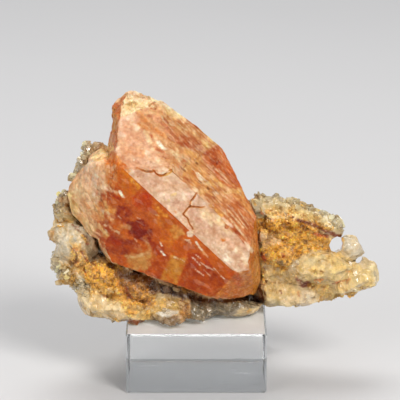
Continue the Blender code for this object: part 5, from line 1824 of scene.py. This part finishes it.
    def build(self, material: bpy.types.Material) -> bpy.types.Object:
        """Makes the dressed crystal.

        Args:
            material: Its finish.

        Returns:
            The mesh object that stands for the crystal's solid.
        """
        surface = Surface.of_node("scheelite_crystal")
        surface.refine(self.spacing)
        zones = self.zones(surface)
        self.soften(surface)
        for nudge in self.nudges:
            nudge.apply(surface.points)
        normals, bend = surface.normals()
        areas = np.linalg.norm(surface.crosses(), axis=1)
        shares = np.zeros((len(surface.points), len(Face)))
        for k in range(3):
            np.add.at(shares, (surface.faces[:, k], zones), areas)
        shares /= np.maximum(shares.sum(axis=1, keepdims=True), 1e-9)
        colours = self.colours(surface, zones)
        look = np.array([FACE_LOOKS[face] for face in Face])[np.repeat(zones, 3)]
        look[:, 0] += 0.1 * self.grain.fractal(surface.points, 1.1)[surface.faces.ravel()]
        surface.points += normals * self.heights(surface, shares, bend)[:, None]
        piece = mesh_object(
            "scheelite_surface", surface, colours, np.clip(look, 0.03, 1), material, 28, self.exposure
        )
        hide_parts("scheelite_crystal")
        return piece


# The two holes through the wing, in the front view.
WING_HOLES: tuple[Spot, ...] = ((27.6, -8.6), (31.4, -12.2))


@dataclass(frozen=True)
class QuartzSizes:
    """Sizes of the quartz's surface detail, in millimetres.

    Attributes:
        front_spacing: Longest triangle side where the front view sees it.
        back_spacing: Longest triangle side elsewhere.
        facet: Width of the larger facets.
        chip: Width of the smaller facets.
        tip: How far the facets lean from the surface, as a share.
        deepest: How far a facet may cut in or stand out.
        crust: Height of the crust on the rusty parts.
        block_half: Half the side of the block below.
        block_top: Height of the block's top.
    """

    front_spacing: float = 0.48
    back_spacing: float = 0.95
    facet: float = 4.0
    chip: float = 1.5
    tip: float = 0.28
    deepest: float = 0.8
    crust: float = 0.4
    block_half: float = 14.3
    block_top: float = 12.7


@dataclass
class Quartz:
    """The rough quartz that the scheelite grows from.

    Attributes:
        sizes: Sizes of its surface detail.
        grain: Its noise.
        exposure: Factors on red, green and blue that make up for the studio's light and gloss.
        darkest: The least that a channel of its colours may be.
        brightest: The most.
        nudges: Pushes that set its outline on the photograph's.
        surface: The dressed surface, once built.
        colours: Its colours as seen, one for each corner of each triangle, once built.
    """

    sizes: QuartzSizes = QuartzSizes()
    grain: Grain = Grain(23)
    exposure: Rgb = (1.02, 0.92, 0.72)
    darkest: float = 6.0
    brightest: float = 250.0
    nudges: tuple[Nudge, ...] = (
        Nudge((30.6, -3.4), 4.4, (-2.6, -0.2)),
        Nudge((28.2, -9.0), 5.0, (-1.0, 0.0)),
        Nudge((-1.2, -23.4), 6.5, (0.0, 0.0), 4.5),
        Nudge((-6.4, -24.4), 4.5, (0.0, 0.0), 1.6),
        Nudge((16.4, -20.2), 5.0, (0.0, -1.3)),
        Nudge((21.6, -20.4), 3.0, (0.0, -1.4)),
        Nudge((29.0, -17.0), 3.4, (0.0, -1.6)),
        Nudge((33.4, -12.6), 3.0, (0.0, 1.0)),
        Nudge((30.2, -7.4), 2.6, (-0.8, 0.6)),
        Nudge((-27.6, 2.2), 5.5, (1.0, 0.0)),
        Nudge((-25.0, 7.6), 4.0, (0.8, -0.4)),
        Nudge((-31.2, -11.0), 6.0, (1.1, 0.0)),
        Nudge((-29.2, -15.6), 5.0, (0.8, 1.2)),
        Nudge((-24.0, -17.6), 4.5, (0.6, 0.8)),
    )
    surface: Surface | None = None
    colours: Floats | None = None

    def room(self, points: Floats) -> Floats:
        """How much relief each place has room for.

        Args:
            points: The places.

        Returns:
            Shares from 0, beside the block or at the edge of a hole, to 1.
        """
        half, top = self.sizes.block_half, self.sizes.block_top
        outside = np.maximum(np.abs(points[:, :2]) - half, 0)
        above = np.maximum(points[:, 2] - top, 0)
        gap = np.sqrt((outside**2).sum(axis=1) + above**2)
        places = OUTLOOK.seen(points)
        near = [np.linalg.norm(places - hole, axis=1) for hole in WING_HOLES]
        return smooth((gap - 0.25) / 1.6) * smooth((np.min(near, axis=0) - 1.8) / 2.6)

    def crust(self, points: Floats) -> Floats:
        """How far the crust of the rusty parts stands out at each point."""
        chips = self.grain.cells(points + 4, 0.9)
        return self.sizes.crust * (self.grain.fractal(points, 0.9, 3) + 0.5 * chips.tilt())

    def facet(self, surface: Surface, size: float, share: Floats) -> None:
        """Flattens the surface into facets of about that width.

        Args:
            surface: The surface, which moves.
            size: Width of the facets.
            share: How flat each point gets, from 0 to 1.
        """
        normals, _ = surface.normals()
        points = surface.points
        owners, index = np.unique(self.grain.cells(points, size).owner, return_inverse=True)
        count = np.bincount(index)
        middle, lean = (
            np.stack([np.bincount(index, part[:, k]) / count for k in range(3)], axis=1)
            for part in (points, normals)
        )
        together = smooth(1.6 * np.linalg.norm(lean, axis=1) - 0.4)
        lean += self.sizes.tip * np.sin(owners[:, None] * SCRAMBLE)
        lean /= np.linalg.norm(lean, axis=1, keepdims=True)
        away = ((middle[index] - points) * lean[index]).sum(axis=1)
        away = self.sizes.deepest * np.tanh(away / self.sizes.deepest)
        points += (share * together[index] * away)[:, None] * lean[index]

    def paint(self, surface: Surface) -> Floats:
        """Paints the quartz.

        Args:
            surface: The surface before the relief.

        Returns:
            Colours as seen, one for each corner of each triangle.
        """
        points, grain = surface.points, self.grain
        corners = surface.faces.ravel()
        base = np.broadcast_to(np.array(QUARTZ_PLAIN, float), (len(corners), 3)).copy()
        cloud = grain.fractal(points, 5.0, 4)[corners]
        rust = smooth(grain.fractal(points + 50, 6.0, 5)[corners] * 4 - 0.6)
        base += (0.75 * rust)[:, None] * (np.array(OCHRE) * 0.9 - base)
        base *= (1 + 0.16 * cloud)[:, None]
        shown = painted(surface, base, QUARTZ_MARKS, grain, None, 0.6)
        dust = grain.fractal(points + 9, 0.6, 4)[corners]
        pits = smooth(grain.fractal(points + 19, 0.9, 4)[corners] * 4 - 1.1)
        rusty = self.rustiness(shown)
        shown += (0.52 * rusty * pits)[:, None] * (np.array(UMBER) - shown)
        shown *= 1 + ((0.16 + 0.26 * rusty) * dust)[:, None] * np.array([0.95, 1.0, 1.15])
        shown *= np.minimum(1, self.brightest / shown.max(axis=1))[:, None]
        return np.clip(shown, self.darkest, self.brightest)

    @staticmethod
    def rustiness(colours: Floats) -> Floats:
        """How rusty the colours look, from 0 to 1."""
        return smooth((colours[:, 0] - colours[:, 2] - 70) / 55)

    def build(self, material: bpy.types.Material) -> bpy.types.Object:
        """Makes the rough body of the quartz.

        Args:
            material: Its finish.

        Returns:
            The mesh object that stands for the quartz's solid.
        """
        sizes = self.sizes
        surface = Surface.of_node("quartz_matrix")
        surface.refine(
            lambda places: np.where(places[:, 1] < 2.0, sizes.front_spacing, sizes.back_spacing)
        )
        for nudge in self.nudges:
            nudge.apply(surface.points)
        surface.relax(0.5 * self.room(surface.points), 4)
        self.colours = self.paint(surface)
        corners = surface.faces.ravel()
        rusty = self.rustiness(self.colours)
        rusty_points = np.bincount(corners, rusty) / np.maximum(np.bincount(corners), 1)
        room = self.room(surface.points)
        self.facet(surface, sizes.facet, room * (0.9 - 0.3 * rusty_points))
        self.facet(surface, sizes.chip, room * (0.35 + 0.3 * rusty_points))
        normals, _ = surface.normals()
        surface.points += normals * (room * rusty_points * self.crust(surface.points))[:, None]
        self.surface = surface
        rough = 0.1 + 0.5 * rusty + 0.12 * self.grain.fractal(surface.points, 1.4)[corners]
        look = np.stack([np.clip(rough, 0.06, 1), np.zeros(len(rough)), 0.7 + 0.3 * rusty], axis=1)
        piece = mesh_object("quartz_body", surface, self.colours, look, material, 10, self.exposure)
        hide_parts("quartz_matrix")
        return piece


# Where small clear crystals line the quartz, as lines in the front view.
DRUSY_RIMS: tuple[tuple[Spot, ...], ...] = (
    ((9.0, 2.8), (13.6, 2.2), (20.0, 0.0), (26.4, -2.2), (28.6, -5.0)),
    ((-23.2, 11.2), (-24.4, 8.0), (-27.6, 2.2), (-28.6, -2.4)),
    ((-30.0, -11.2), (-29.2, -14.0), (-26.8, -14.8)),
    ((-24.0, -17.0), (-23.0, -18.0)),
)


@dataclass(frozen=True)
class Scatter:
    """Small crystals or grains laid over the quartz.

    Attributes:
        name: The piece's name.
        count: How many there are.
        smallest: Width of the smallest, in millimetres.
        largest: Width of the largest.
        length: Length for a width of one.
        sides: Number of sides.
        lean: How far they tip from upright, as a share.
        sunk: How much of the length is below the surface.
        brightness: The colour's brightness beside the quartz below it.
        whiteness: How far the colour goes to white.
        rough: Roughness of the sides.
        seed: Start of the random numbers.
    """

    name: str
    count: int
    smallest: float
    largest: float
    length: float
    sides: int
    lean: float
    sunk: float
    brightness: float
    whiteness: float
    rough: float
    seed: int

    def shape(self) -> tuple[Floats, NDArray[np.int64]]:
        """Makes one crystal of width 1.

        Returns:
            Its points, as a ring at the foot, a ring below the tip and both ends, and its faces.
        """
        turn = np.arange(self.sides) * 2 * math.pi / self.sides
        ring = np.stack([np.cos(turn), np.sin(turn)], axis=1) / 2
        foot = np.column_stack([ring, np.full(self.sides, -self.sunk * self.length)])
        shoulder = np.column_stack([ring * 0.94, np.full(self.sides, self.length * 0.35)])
        ends = np.array(
            [[0.06, 0.03, self.length * (1 - self.sunk)], [0.0, 0.0, -self.sunk * self.length]]
        )
        here = np.arange(self.sides)
        after = (here + 1) % self.sides
        tip = np.full(self.sides, 2 * self.sides)
        triangles = (
            (here, after, after + self.sides),
            (here, after + self.sides, here + self.sides),
            (here + self.sides, after + self.sides, tip),
            (after, here, tip + 1),
        )
        faces = np.vstack([np.stack(corners, axis=1) for corners in triangles])
        return np.vstack([foot, shoulder, ends]), faces

    def build(
        self,
        quartz: Quartz,
        wanted: Callable[[Floats, Floats], Floats],
        material: bpy.types.Material,
    ) -> bpy.types.Object:
        """Lays the pieces over the quartz and joins them in one mesh.

        Args:
            quartz: The body they sit on, already built.
            wanted: Gives how likely a piece is, from the place in the view and the colour there.
            material: Their finish.

        Returns:
            The mesh object.
        """
        luck = np.random.default_rng(self.seed)
        surface = quartz.surface
        normals = surface.face_normals()
        places = OUTLOOK.seen(surface.points[surface.faces].mean(axis=1))
        areas = np.linalg.norm(surface.crosses(), axis=1)
        seen = quartz.colours.reshape(-1, 3, 3).mean(axis=1)
        odds = areas * wanted(places, seen)
        for hole in WING_HOLES:
            odds *= smooth((np.linalg.norm(places - hole, axis=1) - 2.2) / 0.8)
        picked = luck.choice(len(areas), self.count, p=odds / odds.sum())
        mix = luck.dirichlet((1, 1, 1), self.count)
        feet = (surface.points[surface.faces[picked]] * mix[:, :, None]).sum(axis=1)
        widths = self.smallest + (self.largest - self.smallest) * luck.random(self.count) ** 2.2
        axis = normals[picked] + self.lean * luck.normal(size=(self.count, 3))
        axis /= np.linalg.norm(axis, axis=1, keepdims=True)
        side = np.cross(axis, luck.normal(size=(self.count, 3)))
        side /= np.linalg.norm(side, axis=1, keepdims=True)
        other = np.cross(axis, side)
        points, faces = self.shape()
        squash = luck.uniform(0.65, 1.25, (self.count, 3)) * widths[:, None]
        jitter = luck.normal(size=(self.count, len(points), 3)) * 0.05
        local = (points[None] + jitter) * squash[:, None, :]
        world = (
            feet[:, None]
            + local[:, :, :1] * side[:, None]
            + local[:, :, 1:2] * other[:, None]
            + local[:, :, 2:] * axis[:, None]
        )
        clear = quartz.room(world.reshape(-1, 3)).reshape(self.count, -1).min(axis=1) > 0.02
        world, picked = world[clear], picked[clear]
        shift = (np.arange(len(world)) * len(points))[:, None, None]
        joined = Surface(world.reshape(-1, 3), (faces[None] + shift).reshape(-1, 3))
        tints = seen[picked] * self.brightness
        tints += self.whiteness * (np.array(DRUSY_WHITE) - tints)
        tints *= luck.uniform(0.82, 1.16, (len(picked), 1))
        colours = np.repeat(np.clip(tints, 6, 252), faces.size, axis=0)
        rough = np.repeat(luck.uniform(0.6, 1.4, len(picked)) * self.rough, faces.size)
        look = np.stack([rough, np.zeros(len(rough)), np.full(len(rough), 0.3)], axis=1)
        piece = mesh_object(self.name, joined, colours, look, material, 20, quartz.exposure)
        return piece


def drusy(places: Floats, seen: Floats) -> Floats:
    """Where small clear crystals grow: along the rims, and a few on pale quartz.

    Args:
        places: Places in the view.
        seen: The quartz's colours there.

    Returns:
        How likely a crystal is at each, on any scale.
    """
    near = np.full(len(places), FAR)
    for rim in DRUSY_RIMS:
        for start, end in zip(rim[:-1], rim[1:]):
            near = np.minimum(near, off_line(places, start, end))
    return 0.008 * (1 - Quartz.rustiness(seen)) + smooth(1.4 - near / 1.2)


def stained(_places: Floats, seen: Floats) -> Floats:
    """Where rusty grains lie: on the stained quartz."""
    return 0.001 + Quartz.rustiness(seen)


@dataclass(frozen=True)
class DisplayBlock:
    """The clear block that the specimen stands on. The solid itself is shown.

    Attributes:
        node: The node that holds its solid.
        top: Height of its top, in millimetres.
    """

    node: str = "display_block"
    top: float = 12.7

    def dress(self, sides: AcrylicFinish, top: AcrylicFinish, foot: AcrylicFinish) -> None:
        """Gives each side of the solid its finish.

        Args:
            sides: Finish of its four sides.
            top: Finish of its top.
            foot: Finish of its underside.
        """
        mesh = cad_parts[self.node].data
        mesh.materials.clear()
        for finish in (sides, top, foot):
            mesh.materials.append(finish.build())
        for face in mesh.polygons:
            high, low = face.center.z > (self.top - 0.05) * MM, face.center.z < 0.05 * MM
            face.material_index = 1 if high else 2 if low else 0
        LOG.info("%s: finishes only", self.node)


@dataclass(frozen=True)
class SoftLight:
    """A soft area light that faces the specimen.

    Attributes:
        name: The light's name.
        place: Where it hangs, in metres.
        width: Its width.
        height: Its height.
        watts: Its power.
        colour: Its colour.
    """

    name: str
    place: Point
    width: float
    height: float
    watts: float
    colour: Rgb = (1.0, 1.0, 1.0)

    def build(self, aim: Vector) -> None:
        """Hangs the light.

        Args:
            aim: The point that it faces.
        """
        lamp = bpy.data.lights.new(self.name, "AREA")
        lamp.shape = "RECTANGLE"
        lamp.size, lamp.size_y = self.width, self.height
        lamp.energy, lamp.color = self.watts, self.colour
        made = bpy.data.objects.new(self.name, lamp)
        made.location = self.place
        made.rotation_euler = (aim - Vector(self.place)).to_track_quat("-Z", "Y").to_euler()
        bpy.context.scene.collection.objects.link(made)


@dataclass(frozen=True)
class Studio:
    """The floor, the light and the camera.

    Attributes:
        floor_side: Side of the square floor, in metres.
        backdrop: Colour of the space around.
        backdrop_strength: Its brightness.
        lights: The soft lights.
        aim: Where they point.
    """

    floor_side: float = 12.0
    backdrop: Rgb = (0.55, 0.56, 0.58)
    backdrop_strength: float = 0.55
    lights: tuple[SoftLight, ...] = (
        SoftLight("key", (0.30, -0.42, 0.50), 0.26, 0.26, 3.3, (1.0, 0.97, 0.93)),
        SoftLight("fill", (-0.5, -0.4, 0.25), 0.4, 0.4, 1.6, (1.0, 0.99, 0.97)),
        SoftLight("top", (-0.05, 0.25, 0.6), 0.4, 0.3, 2.2, (1.0, 0.99, 0.97)),
    )
    aim: Point = (0.0, 0.0, 0.03)

    def floor(self) -> None:
        """Lays the floor, just clear of the block."""
        half = self.floor_side / 2
        low = -0.05 * MM
        mesh = bpy.data.meshes.new("floor")
        corners = [(-half, -half, low), (half, -half, low), (half, half, low), (-half, half, low)]
        mesh.from_pydata(corners, [], [(0, 1, 2, 3)])
        mesh.materials.append(FloorFinish().build())
        made = bpy.data.objects.new("floor", mesh)
        bpy.context.scene.collection.objects.link(made)

    def camera(self) -> None:
        """Places the camera at the photograph's viewing angle."""
        data = bpy.data.cameras.new("camera")
        data.lens = OUTLOOK.lens
        data.clip_start, data.clip_end = 0.01, 30.0
        made = bpy.data.objects.new("camera", data)
        made.location = Vector(OUTLOOK.eye) * MM
        made.rotation_euler = (math.radians(90 - OUTLOOK.tilt), 0, 0)
        bpy.context.scene.collection.objects.link(made)
        bpy.context.scene.camera = made

    def build(self) -> None:
        """Sets the stage."""
        self.floor()
        world = bpy.data.worlds.new("studio")
        world.use_nodes = True
        backdrop = world.node_tree.nodes["Background"]
        backdrop.inputs["Color"].default_value = (*self.backdrop, 1.0)
        backdrop.inputs["Strength"].default_value = self.backdrop_strength
        bpy.context.scene.world = world
        for light in self.lights:
            light.build(Vector(self.aim))
        self.camera()
        bpy.context.scene.view_settings.view_transform = "Standard"


SCHEELITE_FINISH = MineralFinish(
    name="scheelite",
    speckle_scale=3000.0,
    speckle=0.5,
    bump=0.03,
    coat=0.08,
    shine=0.1,
    veins_and_sparkle=0.03,
    glow=0.2,
    glow_reach=(1.4, 0.4, 0.15),
    index=1.6,
)
QUARTZ_FINISH = MineralFinish(
    name="rough quartz",
    speckle_scale=2600.0,
    speckle=0.5,
    bump=0.04,
    coat=0.15,
    shine=0.5,
    veins_and_sparkle=0.14,
    glow=0.3,
    glow_reach=(1.2, 1.0, 0.8),
    index=1.5,
)
DRUSE_FINISH = MineralFinish(
    name="drusy quartz",
    speckle_scale=2400.0,
    speckle=0.2,
    bump=0.01,
    coat=0.6,
    shine=0.5,
    veins_and_sparkle=0.3,
    glow=0.3,
    glow_reach=(1.2, 1.1, 1.0),
    index=1.5,
    clear=0.3,
)
GRAIN_FINISH = MineralFinish(
    name="rusty grains",
    speckle_scale=5200.0,
    speckle=0.8,
    bump=0.03,
    coat=0.2,
    shine=0.4,
    veins_and_sparkle=0.2,
    glow=0.15,
    glow_reach=(0.8, 0.4, 0.2),
    index=1.5,
)
CRYSTALS = Scatter(
    name="drusy_crystals",
    count=900,
    smallest=0.5,
    largest=1.5,
    length=1.4,
    sides=6,
    lean=0.45,
    sunk=0.6,
    brightness=1.08,
    whiteness=0.36,
    rough=0.1,
    seed=3,
)
RUSTY_GRAINS = Scatter(
    name="rusty_grains",
    count=6500,
    smallest=0.2,
    largest=0.55,
    length=1.0,
    sides=4,
    lean=0.9,
    sunk=0.4,
    brightness=1.06,
    whiteness=0.0,
    rough=0.45,
    seed=4,
)


def main() -> None:
    """Builds every piece and the studio around them."""
    logging.basicConfig(level=logging.INFO, format="%(message)s")
    speckles = mineral_effect()
    Scheelite().build(SCHEELITE_FINISH.build(speckles))
    quartz = Quartz()
    quartz.build(QUARTZ_FINISH.build(speckles))
    CRYSTALS.build(quartz, drusy, DRUSE_FINISH.build(speckles))
    RUSTY_GRAINS.build(quartz, stained, GRAIN_FINISH.build(speckles))
    DisplayBlock().dress(CLEAR_ACRYLIC, FROSTED_ACRYLIC, SCUFFED_ACRYLIC)
    Studio().build()


if __name__ == "__main__":
    main()
